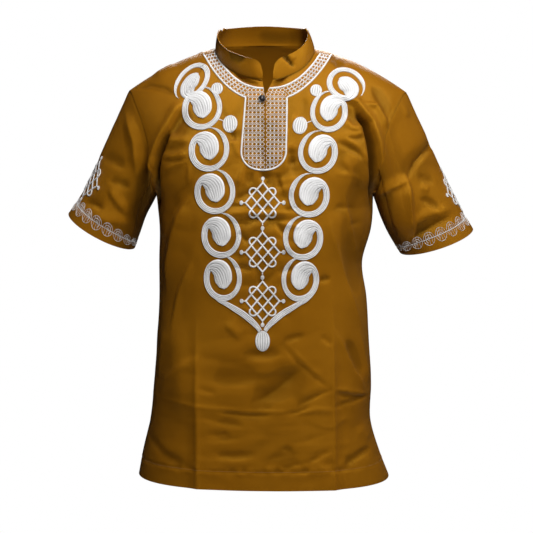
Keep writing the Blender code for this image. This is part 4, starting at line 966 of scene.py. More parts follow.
clothLook = {
    "colour": (0.275, 0.100, 0.0036, 1),
    "warmColour": (0.305, 0.117, 0.0046, 1),
    # painted shade colour, mixed in where the cloth is painted darkest
    "shadeColour": (0.022, 0.0065, 0.0008, 1),
    "roughness": 0.44,
    "threadsPerMetre": 2600.0,
    "weaveHeight": 0.00004,
    "slubs": 0.55,
    "streakScales": ((900.0, 26.0, 1.0), (22.0, 700.0, 1.0)),
    "cloudScale": 7.0,
    "shader": {
        "Sheen Weight": 0.02, "Sheen Roughness": 0.4, "Sheen Tint": (1.0, 0.72, 0.36, 1),
        "Specular IOR Level": 0.95, "Specular Tint": (1.0, 0.55, 0.04, 1),
    },
}
# each groove colour is the painted shade of the grooves between cords or stitches
threadLook = {
    "colour": (0.90, 0.89, 0.885, 1),
    "grooveShadeColour": (0.22, 0.205, 0.20, 1),
    "roughness": 0.36,
    "stitchesPerMetre": 1150.0,
    "stitchSlant": 0.35,
    "stitchHeight": 0.00012,
    "shader": {"Sheen Weight": 0.05, "Specular IOR Level": 0.9, "Anisotropic": 0.68},
}
buttonLook = {
    "colour": (0.010, 0.009, 0.011, 1), "swirlColour": (0.045, 0.030, 0.022, 1), "roughness": 0.16,
    # scale, detail and distortion
    "swirl": (260.0, 4.0, 1.6), "swirlHeight": 0.00002,
    "shader": {"Specular IOR Level": 0.18, "Coat Weight": 0.08, "Coat Roughness": 0.05},
}
stitchLook = {
    "colour": (0.44, 0.20, 0.03, 1), "grooveShadeColour": (0.20, 0.08, 0.01, 1),
    "stitchesPerMetre": 1600.0, "stitchSlant": 0.5,
}
loopLook = {
    "colour": (0.30, 0.150, 0.050, 1), "grooveShadeColour": (0.09, 0.040, 0.012, 1),
    "stitchesPerMetre": 1400.0, "stitchSlant": 0.6,
}


def newGroup(name, inputs, outputs):
    # an input is a vector where no value is given, and else a colour or a number
    group = bpy.data.node_groups.new(name, "ShaderNodeTree")

    def addSocket(label, way, kind):
        return group.interface.new_socket(name=label, in_out=way, socket_type="NodeSocket" + kind)

    for label, value in inputs.items():
        if value is None:
            addSocket(label, "INPUT", "Vector")
        else:
            addSocket(label, "INPUT", "Color" if isinstance(value, tuple) else "Float").default_value = value
    for label in outputs:
        addSocket(label, "OUTPUT", "Color" if label == "Colour" else "Float")
    return group, group.nodes.new("NodeGroupInput").outputs, group.nodes.new("NodeGroupOutput")


def addMath(tree, operation, *values):
    return addNode(tree, "Math", dict(enumerate(values)), operation=operation).outputs[0]


def addMix(tree, share, colourA, colourB):
    return addNode(tree, "Mix", {0: share, 6: colourA, 7: colourB}, data_type="RGBA").outputs[2]


def addNoise(tree, place, scale, detail=2.0, distortion=0.0):
    return addNode(tree, "TexNoise", {
        "Vector": place, "Scale": scale, "Detail": detail, "Distortion": distortion}).outputs["Fac"]


def objectPlace(tree):
    return addNode(tree, "TexCoord", {}).outputs["Object"]


def buildWeaveGroup():
    # satin weave: long floats across fine warp threads, with thicker slubs here and there
    tree, given, leave = newGroup("satin weave", {
        "Cloth Place": None, "Threads Per Metre": 2600.0, "Slubs": 0.5}, ["Height", "Streaks"])
    place = given["Cloth Place"]
    across, up = list(addNode(tree, "SeparateXYZ", {0: place}).outputs)[:2]
    turns = addMath(tree, "MULTIPLY", given["Threads Per Metre"], 2 * math.pi)
    warpPlace, weftPlace = addMath(tree, "MULTIPLY", across, turns), addMath(tree, "MULTIPLY", up, turns)
    slant = addMath(tree, "MULTIPLY", warpPlace, 0.2)
    weft = addMath(tree, "SINE", addMath(tree, "ADD", weftPlace, slant))
    crossed = addMath(tree, "MULTIPLY_ADD", weft, 0.35, addMath(tree, "SINE", warpPlace))
    streaks = []
    for scale in clothLook["streakScales"]:
        drawn = addNode(tree, "Mapping", {0: place, "Scale": scale}).outputs[0]
        streaks.append(addNoise(tree, drawn, 1.0))
    centred = addMath(tree, "SUBTRACT", addMath(tree, "ADD", *streaks), 1.0)
    fillInputs(tree, leave, {"Height": crossed, "Streaks": addMath(tree, "MULTIPLY", centred, given["Slubs"])})
    return tree


def buildToneGroup():
    # uneven dyeing, and painted shade in hollows, seams and other shaded places
    tree, given, leave = newGroup("cloth tone", {
        "Colour": (0.4, 0.2, 0.02, 1), "Warm Colour": (0.5, 0.25, 0.02, 1), "Shade Colour": (0.2, 0.1, 0.01, 1),
        "Painted Shade": 0.5, "Streaks": 0.0}, ["Colour", "Roughness"])
    cloud = addNoise(tree, objectPlace(tree), clothLook["cloudScale"], 3.0)
    share = addMath(tree, "MULTIPLY_ADD", cloud, 1.6, -0.4)
    share = addMath(tree, "MULTIPLY_ADD", given["Streaks"], 0.5, share)
    dyed = addMix(tree, share, given["Colour"], given["Warm Colour"])
    valley = addNode(tree, "MapRange", {"From Min": 0.42, "From Max": 0.0, "To Max": 0.85, "Value": given["Painted Shade"]})
    rough = addMath(tree, "MULTIPLY_ADD", cloud, 0.12, clothLook["roughness"] - 0.06)
    fillInputs(tree, leave, {
        "Colour": addMix(tree, valley.outputs[0], dyed, given["Shade Colour"]),
        "Roughness": addMath(tree, "MULTIPLY_ADD", given["Streaks"], 0.10, rough)})
    return tree


def buildTwistGroup():
    # fine slanting stitches along a cord, with painted shade in the grooves between cords
    tree, given, leave = newGroup("corded thread", {
        "Along": None, "Ridge": 1.0, "Thread Colour": (0.9, 0.9, 0.9, 1), "Groove Shade Colour": (0.5, 0.5, 0.5, 1),
        "Stitches Per Metre": 1100.0, "Slant": 0.4}, ["Colour", "Height", "Roughness"])
    along, aside = list(addNode(tree, "SeparateXYZ", {0: given["Along"]}).outputs)[:2]
    slanted = addMath(tree, "MULTIPLY_ADD", aside, given["Slant"], along)
    turns = addMath(tree, "MULTIPLY", given["Stitches Per Metre"], 2 * math.pi)
    wave = addMath(tree, "SINE", addMath(tree, "MULTIPLY", slanted, turns))
    place = objectPlace(tree)
    fuzz, cloud = addNoise(tree, place, 900.0), addNoise(tree, place, 60.0)
    lit = addMath(tree, "SUBTRACT", addMath(tree, "MULTIPLY_ADD", wave, 0.05, given["Ridge"]), 0.15)
    clean = addNode(tree, "Clamp", {0: addMath(tree, "MULTIPLY_ADD", cloud, 0.30, lit)}).outputs[0]
    fillInputs(tree, leave, {
        "Colour": addMix(tree, clean, given["Groove Shade Colour"], given["Thread Colour"]),
        "Height": addMath(tree, "MULTIPLY_ADD", fuzz, 0.8, wave),
        "Roughness": addMath(tree, "MULTIPLY_ADD", fuzz, 0.2, threadLook["roughness"] - 0.1)})
    return tree


def readAttribute(tree, name, output):
    return addNode(tree, "Attribute", {}, attribute_name=name).outputs[output]


def bumpFrom(tree, height, distance):
    return addNode(tree, "Bump", {"Strength": 1.0, "Distance": distance, "Height": height}).outputs[0]


def makeClothMaterial():
    material, tree, shader = newMaterial("mustard satin cotton")
    weave = addNode(tree, "Group", {
        "Cloth Place": readAttribute(tree, "weave", "Vector"),
        "Threads Per Metre": clothLook["threadsPerMetre"], "Slubs": clothLook["slubs"],
    }, node_tree=buildWeaveGroup()).outputs
    tone = addNode(tree, "Group", {
        "Colour": clothLook["colour"], "Warm Colour": clothLook["warmColour"],
        "Shade Colour": clothLook["shadeColour"], "Painted Shade": readAttribute(tree, "fold", "Fac"),
        "Streaks": weave["Streaks"],
    }, node_tree=buildToneGroup()).outputs
    fillInputs(tree, shader, clothLook["shader"] | {
        "Base Color": tone["Colour"], "Roughness": tone["Roughness"],
        "Normal": bumpFrom(tree, weave["Height"], clothLook["weaveHeight"])})
    return material


def makeThreadMaterial(name, twistGroup, look):
    material, tree, shader = newMaterial(name)
    along = readAttribute(tree, "along", "Vector")
    # the ridge share mixes the thread colour with the painted groove shade
    twist = addNode(tree, "Group", {
        "Along": along, "Ridge": readAttribute(tree, "ridge", "Fac"), "Thread Colour": look["colour"],
        "Groove Shade Colour": look["grooveShadeColour"], "Stitches Per Metre": look["stitchesPerMetre"],
        "Slant": look["stitchSlant"],
    }, node_tree=twistGroup).outputs
    # light runs across the threads: their third "along" value is the angle they cross at
    lay = addNode(tree, "SeparateXYZ", {0: along}).outputs[2]
    across = addNode(tree, "CombineXYZ", {0: addMath(tree, "COSINE", lay), 2: addMath(tree, "SINE", lay)})
    fillInputs(tree, shader, threadLook["shader"] | {
        "Base Color": twist["Colour"], "Roughness": twist["Roughness"], "Tangent": across.outputs[0],
        "Normal": bumpFrom(tree, twist["Height"], threadLook["stitchHeight"])})
    return material


def makeButtonMaterial():
    # dark horn-like plastic with a faint swirl
    material, tree, shader = newMaterial("polished dark button")
    swirl = addNoise(tree, objectPlace(tree), *buttonLook["swirl"])
    share = addNode(tree, "MapRange", {"From Min": 0.45, "From Max": 0.75, "Value": swirl}).outputs[0]
    fillInputs(tree, shader, buttonLook["shader"] | {
        "Base Color": addMix(tree, share, buttonLook["colour"], buttonLook["swirlColour"]),
        "Roughness": addMath(tree, "MULTIPLY_ADD", swirl, 0.10, buttonLook["roughness"] - 0.05),
        "Normal": bumpFrom(tree, swirl, buttonLook["swirlHeight"])})
    return material


# Embroidery, laid on the front of the cloth

axis = {"heights": (-0.24, -0.17, -0.11, -0.03), "shifts": (-0.0038, -0.0017, 0.0014, 0.0042)}


def axisAt(z):
    # the embroidery leans a little, as the cloth hangs
    return np.interp(z, axis["heights"], axis["shifts"])


cordwork = {
    "underlay": 0.00035,
    "body": 0.00065,
    "ridge": 0.00100,
    "sink": 0.0004,
    "scrollStations": 150,
    "acrossPoints": 41,
    "scrollRows": 4,
    "lineWidth": 0.0031,
    "lineHeight": 0.00135,
    "step": 0.0016,
    "roundHeight": 0.0009,
    "roundRidge": 0.0006,
    "knotLine": 0.0031,
}
# A scroll is an oval ring, thin where it starts, that winds inward round a full head with a slot
scrollForm = {
    "turns": (-6, 535),
    "ring": 0.0337,
    "deeper": 0.0012,
    "oval": 0.0016,
    "head": 0.0158,
    "slot": 0.0148,
    "thin": 0.0012,
    "full": 0.0070,
    "fuller": 0.0018,
    "back": (286, 335, 0.52),
}
scrolls = {
    # out from the middle, height, turn, how wide and how tall, and the slant of those two
    -1: [
        (0.1225, -0.0625, 138, 0.76, 1.00, -36), (0.1030, -0.1050, 0, 1.02, 1.01, 0),
        (0.0878, -0.1718, 0, 1.02, 1.01, 0), (0.0765, -0.2392, 0, 1.03, 1.02, 0),
        (0.0662, -0.3090, 0, 1.00, 1.04, 0), (0.0640, -0.3780, 0, 0.96, 1.06, 0),
    ],
    1: [
        (0.1300, -0.0665, 124, 0.93, 0.86, 0), (0.1020, -0.1106, 0, 0.96, 0.96, 0),
        (0.0868, -0.1762, 0, 1.0, 0.99, 0), (0.0745, -0.2450, 0, 1.03, 1.01, 0),
        (0.0650, -0.3130, 0, 1.01, 1.02, 0), (0.0605, -0.3800, 0, 0.95, 1.03, 0),
    ],
}
tails = [
    # out from the middle, height, and width
    (0.0800, -0.4080, 0.0030), (0.0700, -0.4150, 0.0060), (0.0588, -0.4205, 0.0076), (0.0450, -0.4285, 0.0095),
    (0.0320, -0.4365, 0.0103), (0.0190, -0.4470, 0.0100), (0.0090, -0.4570, 0.0082), (0.0042, -0.4640, 0.0066),
]
rounds = {
    # out from the middle, height, half width, half height, cords, lean of the cords
    "dot": (0.0800, -0.0745, 0.0098, 0.0098, 5, 0.10),
    "oval": (0.0560, -0.1320, 0.0120, 0.0138, 6, 0.16),
    "drop": (0.0, -0.4805, 0.0121, 0.0168, 6, 0.0),
}
droop = {-1: 0.0, 0: 0.0, 1: -0.0028}
# the short thread from each oval to the scroll beside it: start, reach, width and height
joiner = {"out": 0.9, "up": 0.0045, "reach": (0.0085, 0.0035), "width": 0.0016, "height": 0.0008}
band = {
    "inner": (0.0945, 0.0742, 2.4),
    "outer": (0.1130, 0.0940, 2.37),
    "innerStart": 0.0875,
    "outerStart": 0.1060,
    "innerEnd": {-1: 0.0048, 1: 0.0052},
    "bibTop": -0.0898,
    "bibTopHalf": 0.0332,
    "bibHalf": 0.0357,
    "bibSideEnd": -0.176,
    "bibBottom": -0.2058,
}
knots = {
    "heights": (-0.258, -0.337, -0.416),
    "halfWidth": 0.0270,
    "halfHeight": 0.0318,
    "budOut": 0.0066,
    "budRadius": 0.0031,
    "stem": 0.0040,
    "threadHeight": 0.00125,
    "step": 0.0013,
    "loopOut": 0.0020,
    "loopSize": 0.84,
    "loopTurn": 3.5,
    # round toward the front from the outer line, and up from the cuff
    "sleeve": {-1: (0.026, 0.074), 1: (0.009, 0.076)},
}


def surfaceOf(made):
    return BVHTree.FromPolygons(made["points"].tolist(), made["faces"].tolist())


def drape(flat, surface):
    # flat points laid on the cloth, keeping the shape of their array
    if callable(surface):
        return surface(flat)
    shape = flat.shape[:-1]
    flat = flat.reshape(-1, 2)
    starts = np.stack([flat[:, 0] + axisAt(flat[:, 1]), 0 * flat[:, 0] - 1.0, flat[:, 1]], axis=1)
    backward = Vector((0, 1, 0))
    places, normals = [], []
    # past an edge of the cloth, the nearest place on it at the last distance
    distance = 0.9
    for start in starts:
        hit, normal, _, away = surface.ray_cast(Vector(start), backward)
        if hit is None:
            hit, normal, _, _ = surface.find_nearest(Vector(start) + backward * distance)
        else:
            distance = away
        places.append(hit)
        normals.append(-normal if normal.y > 0 else normal)
    return np.array(places).reshape(*shape, 3), np.array(normals).reshape(*shape, 3)


def blurGrid(values, times):
    for _ in range(times):
        padded = np.pad(values, [(1, 1), (1, 1), (0, 0)], mode="edge")
        values = (padded[:-2, 1:-1] + padded[2:, 1:-1] + padded[1:-1, :-2] + padded[1:-1, 2:] + 4 * values) / 8
    return values


def cordLoft(basket, flat, surface, heights, ridges):
    # a closed raised ribbon: flat is stations by points across, heights its thickness there
    places, normals = drape(flat, surface)
    normals = unit(blurGrid(normals, 3))
    stations, width = flat.shape[:2]
    top = places + normals * heights[..., None]
    foot = places[:, [-1, 0]] - normals[:, [-1, 0]] * cordwork["sink"]
    rings = np.concatenate([top, foot], axis=1)
    faces = faceOut(cappedTube(stations, width + 2), places, normals)
    middle = places[:, width // 2]
    aside = np.linalg.norm(places - middle[:, None], axis=2) * np.sign(np.arange(width) - width // 2)
    crosswise = places[:, -1] - places[:, 0]
    lay = np.unwrap(2 * np.arctan2(crosswise[:, 2], crosswise[:, 0]))[:, None] / 2
    along = np.stack(np.broadcast_arrays(runOf(middle)[:, None], aside, lay), axis=-1)
    along = np.concatenate([along, along[:, [-1, 0]]], axis=1)
    ridge = np.concatenate([ridges, 0 * ridges[:, :2]], axis=1)
    basket.add(rings.reshape(-1, 3), faces, along.reshape(-1, 3), ridge.reshape(-1))


def ridgeProfile(share, rows, split):
    # rounded cords side by side; where split is 1 each cord has become two
    single = np.abs(np.sin(math.pi * rows * share)) ** 0.9
    double = np.abs(np.sin(2 * math.pi * rows * share)) ** 0.9
    return lerp(single, double, split)


def addRibbon(basket, edgeA, edgeB, surface, rows, split):
    share = np.linspace(0, 1, cordwork["acrossPoints"])
    flat = lerp(edgeA[:, None, :], edgeB[:, None, :], share[None, :, None])
    width = np.linalg.norm(edgeB - edgeA, axis=1)[:, None]
    share, split = share[None, :], split[:, None]
    ridge = ridgeProfile(share, rows, split)
    # some grooves run deep and some almost close up
    run = np.linspace(0, 1, len(width))
    depths = [[noise.noise((7.0 * u, 3.1 * v, 40 * edgeA[0, 1])) for v in share[0] * rows] for u in run]
    depths = (0.85 + 0.75 * np.array(depths)) * (1 - 0.55 * split * (1 - 0.6 * share))
    ridge = 1 - np.clip(depths, 0.12, 1.0) * (1 - ridge)
    shoulder = 1 - np.abs(2 * share - 1) ** 12
    full = np.clip(width / 0.006, 0.25, 1.0)
    heights = cordwork["underlay"] + full * shoulder * (cordwork["body"] + cordwork["ridge"] * ridge)
    # the ridge share paints shade into the grooves, and a little over the split head
    cordLoft(basket, flat, surface, heights, ridge**0.6 * (1 - 0.08 * split))


def scrollOutline():
    # angles clockwise from the top, and radii, of the outer and inner edge
    form = scrollForm
    outer = np.linspace(*form["turns"], cordwork["scrollStations"])
    angle = np.radians(outer)
    ring = form["ring"] - form["deeper"] * np.cos(angle) + form["oval"] * np.cos(2 * angle)
    width = form["thin"] + form["full"] * smoothStep((outer + 10) / 75)
    width += form["fuller"] * smoothStep((outer - 130) / 70)
    outerRadius = lerp(ring, form["head"], smoothStep((outer - 285) / 165))
    outerRadius += 0.002 * smoothStep((outer - 490) / 45)
    innerRadius = lerp(ring - width, form["slot"], smoothStep((outer - 290) / 65))
    innerRadius += 0.0016 * smoothStep((outer - 450) / 60)
    # the inner edge turns back along the head
    most, start, slope = form["back"]
    inner = -10 * np.logaddexp(-outer / 10, -(most - slope * (outer - start)) / 10)
    return (outer, outerRadius), (inner, innerRadius), smoothStep((outer - 280) / 105)


def addScroll(basket, side, scroll, surface):
    out, z, turn, wide, tall, slant = scroll
    slant = math.radians(slant)
    *outline, split = scrollOutline()
    edges = []
    for angle, radius in outline:
        angle = np.radians(angle - turn)
        # stretched along two axes that lean outward by the slant
        a = radius * np.sin(angle + slant) * wide
        b = radius * np.cos(angle + slant) * tall
        x = side * out - side * (a * math.cos(slant) - b * math.sin(slant))
        edges.append(np.stack([x, z + a * math.sin(slant) + b * math.cos(slant)], axis=1))
    addRibbon(basket, *edges, surface, cordwork["scrollRows"], split)


def evenLine(points, step):
    # the line through these points, at even steps
    points = np.asarray(points, float)
    run = runOf(points)
    at = np.linspace(0, run[-1], max(3, int(round(run[-1] / step)) + 1))
    return np.stack([np.interp(at, run, points[:, k]) for k in range(points.shape[1])], axis=1)


def sidewaysOf(line):
    along = unit(np.gradient(line, axis=0))
    return np.stack([-along[:, 1], along[:, 0]], axis=1)


def widened(line, share, width):
    # points across a flat line at these shares of its half width
    return line[:, None] + sidewaysOf(line)[:, None] * share[None, :, None] * width / 2


def addTail(basket, side, surface):
    # cords that taper from the last scroll toward the drop
    places, at = np.arange(len(tails)), np.linspace(0, len(tails) - 1, 80)
    x, z, wide = (smoothTable(places, column(tails, k), at) for k in range(3))
    line = np.stack([side * x, z], axis=1)
    aside = sidewaysOf(line) * wide[:, None] / 2
    addRibbon(basket, line + aside, line - aside, surface, 4, 0 * at)


def threadLine(basket, points, width, surface, height, step=cordwork["step"], wave=None):
    # one cord laid along a line, round on top
    line = evenLine(points, step)
    share = np.linspace(-1, 1, 7)
    dome = np.sqrt(np.maximum(1 - share**2, 0.0))
    lift = np.ones(len(line)) if wave is None else wave(np.linspace(0, 1, len(line)))
    heights = cordwork["underlay"] * 0.5 + height * lift[:, None] * dome[None, :]
    # painted shade darkens the cord toward its edges
    cordLoft(basket, widened(line, share, width), surface, heights,
             np.broadcast_to(0.35 + 0.65 * dome, heights.shape))


def roundPatch(basket, centre, halfWide, halfTall, cords, lean, surface, thick=1.0):
    # a round of satin cords that all meet at the top and the bottom
    turn = np.linspace(-math.pi / 2 + 0.06, math.pi / 2 - 0.06, 28)[:, None]
    share = np.linspace(-1, 1, 6 * cords + 1)[None, :]
    x = halfWide * np.cos(turn) * share
    x = x + lean * halfWide * np.cos(turn) * (1 - share**2) * np.sin(turn)
    z = halfTall * np.sin(turn) * np.ones_like(share)
    flat = np.stack([centre[0] + x, centre[1] + z], axis=-1)
    ridge = np.abs(np.sin(math.pi * cords * (share + 1) / 2)) ** 0.7
    dome = np.sqrt(np.maximum(1 - np.abs(share) ** 6, 0)) * np.cos(turn) ** 0.35
    heights = cordwork["underlay"] + thick * dome * (cordwork["roundHeight"] + cordwork["roundRidge"] * ridge)
    # painted shade in the grooves between the cords
    cordLoft(basket, flat, surface, heights, (0.15 + 0.85 * ridge) * np.ones_like(turn))


def addRound(basket, name, side, surface):
    out, z, halfWide, halfTall, cords, lean = rounds[name]
    z += droop[side]
    roundPatch(basket, (side * out, z), halfWide, halfTall, cords, lean * side, surface)
    if name == "oval":
        start = np.array([side * (out + halfWide * joiner["out"]), z + joiner["up"]])
        end = start + np.array([side, 1]) * joiner["reach"]
        threadLine(basket, [start, end], joiner["width"], surface, joiner["height"])


def bandHeight(x, line):
    half, drop, power = line
    return -drop * (1 - np.minimum(np.abs(x) / half, 1.0) ** power)


def bandCurve(side, key, start, end):
    # 60 points along the inner or outer edge of the band round the neck
    x = np.linspace(start, end, 60)
    return np.stack([side * x, bandHeight(x, band[key])], axis=1)


def borderPath():
    x = np.linspace(band["outerStart"], band["bibTopHalf"] + 0.0008, 44)
    right = [(v, float(bandHeight(v, band["outer"]))) for v in x]
    for share in np.linspace(0, 1, 20):
        right.append((lerp(band["bibTopHalf"], band["bibHalf"], share),
                      lerp(band["bibTop"], band["bibSideEnd"], share)))
    for angle in np.radians(np.linspace(0, 90, 31)[1:-1]):
        drop = (band["bibBottom"] - band["bibSideEnd"]) * math.sin(angle)
        right.append((band["bibHalf"] * math.cos(angle) ** 0.85, band["bibSideEnd"] + drop))
    return np.array([(-x, z) for x, z in right] + [(0.0, band["bibBottom"])] + right[::-1])


def sway(phase):
    # a cord that swells and thins three times along its length
    return lambda t: 1.0 + 0.22 * np.cos(math.pi * (3 * t + phase))


def addKnot(basket, centre, below, surface):
    # a lozenge cut in thirds, a round loop outside each side, and buds at its points
    centre, size = np.array(centre), np.array([knots["halfWidth"], knots["halfHeight"]])
    corners = [centre + size * way for way in ((0, 1), (1, 0), (0, -1), (-1, 0))]
    top, right, bottom, left = corners
    lines, buds = [], []
    for k in range(4):
        a, b = corners[k], corners[(k + 1) % 4]
        lines.append(([a, b], 1.0, sway(k % 2)))
        middle = (a + b) / 2
        outward = unit((middle - centre) / size)
        radius = knots["loopSize"] * math.hypot(np.linalg.norm(b - a) / 6, knots["loopOut"])
        turns = math.atan2(outward[1], outward[0]) + knots["loopTurn"] * np.linspace(-0.5, 0.5, 15)
        arc = radius * np.stack([np.cos(turns), np.sin(turns)], axis=1)
        lines.append((middle + outward * knots["loopOut"] + arc, 1.0, None))
    for number, share in enumerate((1 / 3, 2 / 3)):
        lines.append(([lerp(top, right, share), lerp(left, bottom, share)], 1.0, sway(number)))
        lines.append(([lerp(top, left, share), lerp(right, bottom, share)], 1.0, sway(number + 1)))
    for corner in corners:
        stem = corner is bottom and below == "stem"
        end = corner + unit(corner - centre) * knots["stem" if stem else "budOut"]
        lines.append(([corner, end], 0.7, None))
        if not stem:
            buds.append(end)
    for points, share, wave in lines:
        width = cordwork["knotLine"] * share
        threadLine(basket, points, width, surface, knots["threadHeight"], knots["step"], wave)
    for bud in buds:
        roundPatch(basket, bud, knots["budRadius"], knots["budRadius"] * 1.15, 3, 0.0, surface, 0.9)


lattice = {
    "pitchX": 0.0064,
    "pitchZ": 0.0073,
    "topRow": -0.0772,
    "rows": 18,
    "ringWide": 0.0030,
    "ringTall": 0.0028,
    "ringThread": 0.00080,
    "knotRing": 0.00085,
    "knotThread": 0.00056,
    "fromSlit": {-1: 0.0036, 1: 0.0050},
    "margin": 0.0029,
    "bandColumns": 14,
    "bandEnd": (0.0240, 0.0375),
    # shares of the way across the band of each row of rings, and of small rings
    "bandRings": (0.24, 0.50, 0.76),
    "bandKnotRings": (0.37, 0.63),
    "bandStep": 0.0005,
    "height": 0.0008,
}


def inBib(x, z, margin):
    # x is measured from the middle of the embroidery
    corner = bandHeight(lattice["bandEnd"][1], band["outer"])
    if z > corner:
        high = bandHeight(lattice["bandEnd"][0], band["inner"])
        share = (z - corner) / (high - corner)
        beside = lerp(lattice["bandEnd"][1], lattice["bandEnd"][0], share) - 0.6 * margin
        return abs(x) < beside and z < bandHeight(x, band["inner"]) - 0.75 * margin
    if z > band["bibSideEnd"]:
        down = np.clip((z - band["bibTop"]) / (band["bibSideEnd"] - band["bibTop"]), 0, 1)
        return abs(x) < lerp(band["bibTopHalf"], band["bibHalf"], down) - margin
    down = (z - band["bibSideEnd"]) / (band["bibBottom"] + margin * 0.8 - band["bibSideEnd"])
    return down < 1 and abs(x) < (band["bibHalf"] - margin) * math.cos(math.asin(down)) ** 0.85


def addLattice(basket, surface):
    # wide rings in rows, and a small one between each four of them
    rings, knotRings = [], []
    for side in (-1, 1):
        for row, step in product(range(lattice["rows"]), range(6)):
            for half, places in ((0.0, rings), (0.5, knotRings)):
                z = lattice["topRow"] - (row + half) * lattice["pitchZ"]
                edge = float(slitEdge(np.array(max(z, body["slitEndZ"] + 0.002)), side))
                out = lattice["fromSlit"][side] + (step + half) * lattice["pitchX"]
                x = edge + side * out - float(axisAt(z))
                if inBib(x, z, lattice["margin"] * (1 - 0.5 * half)):
                    places.append((x, z))
        innerEnd, outerEnd = lattice["bandEnd"]
        inner = evenLine(bandCurve(side, "inner", band["innerStart"], innerEnd), lattice["bandStep"])
        outer = evenLine(bandCurve(side, "outer", band["outerStart"] - 0.001, outerEnd), lattice["bandStep"])
        for step in range(lattice["bandColumns"]):
            for places, half, key in ((rings, 0.0, "bandRings"), (knotRings, 0.5, "bandKnotRings")):
                share = (step + 0.5 + half) / lattice["bandColumns"]
                if share <= 0.99:
                    a, b = (line[int(share * (len(line) - 1))] for line in (inner, outer))
                    places += [tuple(lerp(a, b, across)) for across in lattice[key]]
    for place in rings:
        addRing(basket, place, (lattice["ringWide"], lattice["ringTall"]), lattice["ringThread"], 14, surface)
    for place in knotRings:
        addRing(basket, place, (lattice["knotRing"],) * 2, lattice["knotThread"], 8, surface)
    print("lattice rings:", len(rings), "and", len(knotRings))


def addRing(basket, centre, size, thread, segments, surface):
    turns = np.linspace(0, 2 * math.pi, segments, endpoint=False)
    offsets = np.array([-0.5, -0.3, 0.3, 0.5]) * thread
    spokes = np.stack([np.cos(turns), np.sin(turns)], axis=1)
    flat = np.array(centre) + spokes[:, None] * (np.array(size) + offsets[None, :, None])
    places, normals = drape(flat, surface)
    lift = np.array([0.0, lattice["height"], lattice["height"], 0.0]) + 0.0001
    index = np.arange(segments * 4).reshape(segments, 4)
    index = np.concatenate([index, index[:1]], axis=0)
    faces = faceOut(gridFaces(index).tolist() + gridFaces(index[:, [3, 0]]).tolist(), places, normals)
    along = np.stack([np.repeat(turns * size[0], 4), np.tile(offsets, segments), np.repeat(turns, 4)], axis=1)
    # a little painted shade along the ring's edges
    basket.add((places + normals * lift[None, :, None]).reshape(-1, 3), faces, along,
               np.tile([0.9, 1.0, 1.0, 0.9], segments))


# Embroidery round the cuffs, placed by how far round and how far up from the cuff's edge

cuffBorder = {
    "lineUp": 0.0205,
    "lineWidth": 0.0012,
    "lineHeight": 0.0005,
    "flatter": 0.92,
    "pitch": 0.0222,
    "radius": 0.0105,
    "thread": 0.00078,
    "height": 0.00045,
    # sizes of the arcs in each round, and how much of a turn the inner ones make
    "arcs": (1.0, 0.62, 0.28),
    "innerTurn": 0.62,
    # the short bars that hatch each round, and how much finer they are
    "bars": (-0.5, 0.0, 0.5),
    "finer": 0.8,
}


def sleevePlace(made, around, up):
    # a place on the sleeve, metres round the cuff and metres up from its edge
    count, rows = made["count"], made["rows"]
    turn = np.interp(np.mod(around, made["round"]), [*made["run"], made["round"]], np.arange(count + 1))
    row = np.clip((1 - up / made["length"]) * (rows - 1), 0, rows - 1)
    c0, r0 = np.floor(turn).astype(int), np.floor(row).astype(int)
    c1, r1 = (c0 + 1) % count, np.minimum(r0 + 1, rows - 1)
    fc, fr = (turn - c0)[..., None], (row - r0)[..., None]
    c0 = c0 % count
    found = []
    for key in ("points", "normals"):
        grid = made[key].reshape(rows, count, 3)
        found.append(lerp(lerp(grid[r0, c0], grid[r0, c1], fc), lerp(grid[r1, c0], grid[r1, c1], fc), fr))
    return found[0], unit(found[1])


def sleeveSurface(made, toFront, upFromCuff):
    # lays a flat drawing on the sleeve about that place, at its true size
    grid = made["points"].reshape(made["rows"], made["count"], 3)
    outerLength = runOf(grid[:, made["upCount"] - 1])[-1]
    row = grid[int((1 - upFromCuff / outerLength) * (made["rows"] - 1))]
    girth = runOf(row)[-1] / made["run"][-1]

    def lay(flat):
        around = made["run"][made["upCount"] - 1] + (flat[..., 0] - toFront) / girth
        return sleevePlace(made, around, (flat[..., 1] + upFromCuff) * made["length"] / outerLength)
    return lay


def cuffThread(basket, made, line, width, height):
    # a fine thread on the sleeve; line is points of (around, up)
    line = evenLine(line, cordwork["step"])
    flat = widened(line, np.array([-1.0, 0.0, 1.0]), width)
    places, normals = sleevePlace(made, flat[..., 0], flat[..., 1])
    top = places + normals * (0.0001 + height * np.array([0.0, 1.0, 0.0]))[None, :, None]
    foot = places[:, [2, 0]] - normals[:, [2, 0]] * 0.0003
    rings = np.concatenate([top, foot], axis=1)
    faces = faceOut(cappedTube(len(line), 5), places, normals)
    # painted shade on the thread's flanks, darker at its foot
    basket.add(rings.reshape(-1, 3), faces, alongOnly(np.arange(len(line)) * cordwork["step"], 5),
               np.tile([0.4, 1.0, 0.4, 0.2, 0.2], len(line)))


def addCuffBorder(basket, made):
    look, total = cuffBorder, made["round"]
    number = int(round(total / look["pitch"]))
    level, radius = look["lineUp"], look["radius"]
    cuffThread(basket, made, [(0.0, level), (total * 0.5, level), (total, level)],
               look["lineWidth"], look["lineHeight"])
    for k in range(number):
        middle = (k + 0.5) * total / number
        for share in look["arcs"]:
            turns = 0.25 + np.linspace(0, 2 * math.pi * (1.0 if share == 1.0 else look["innerTurn"]), 22)
            x, z = radius * share * np.cos(turns) * look["flatter"], radius * share * np.sin(turns)
            cuffThread(basket, made, np.stack([middle + x, level + z], axis=1), look["thread"], look["height"])
        for lean in look["bars"]:
            x, z = middle + radius * lean * 0.9, radius * look["flatter"] * math.sqrt(1 - lean**2)
            cuffThread(basket, made, [(x, level + z), (x, level - z)], look["thread"] * look["finer"],
                       look["height"] * look["finer"])


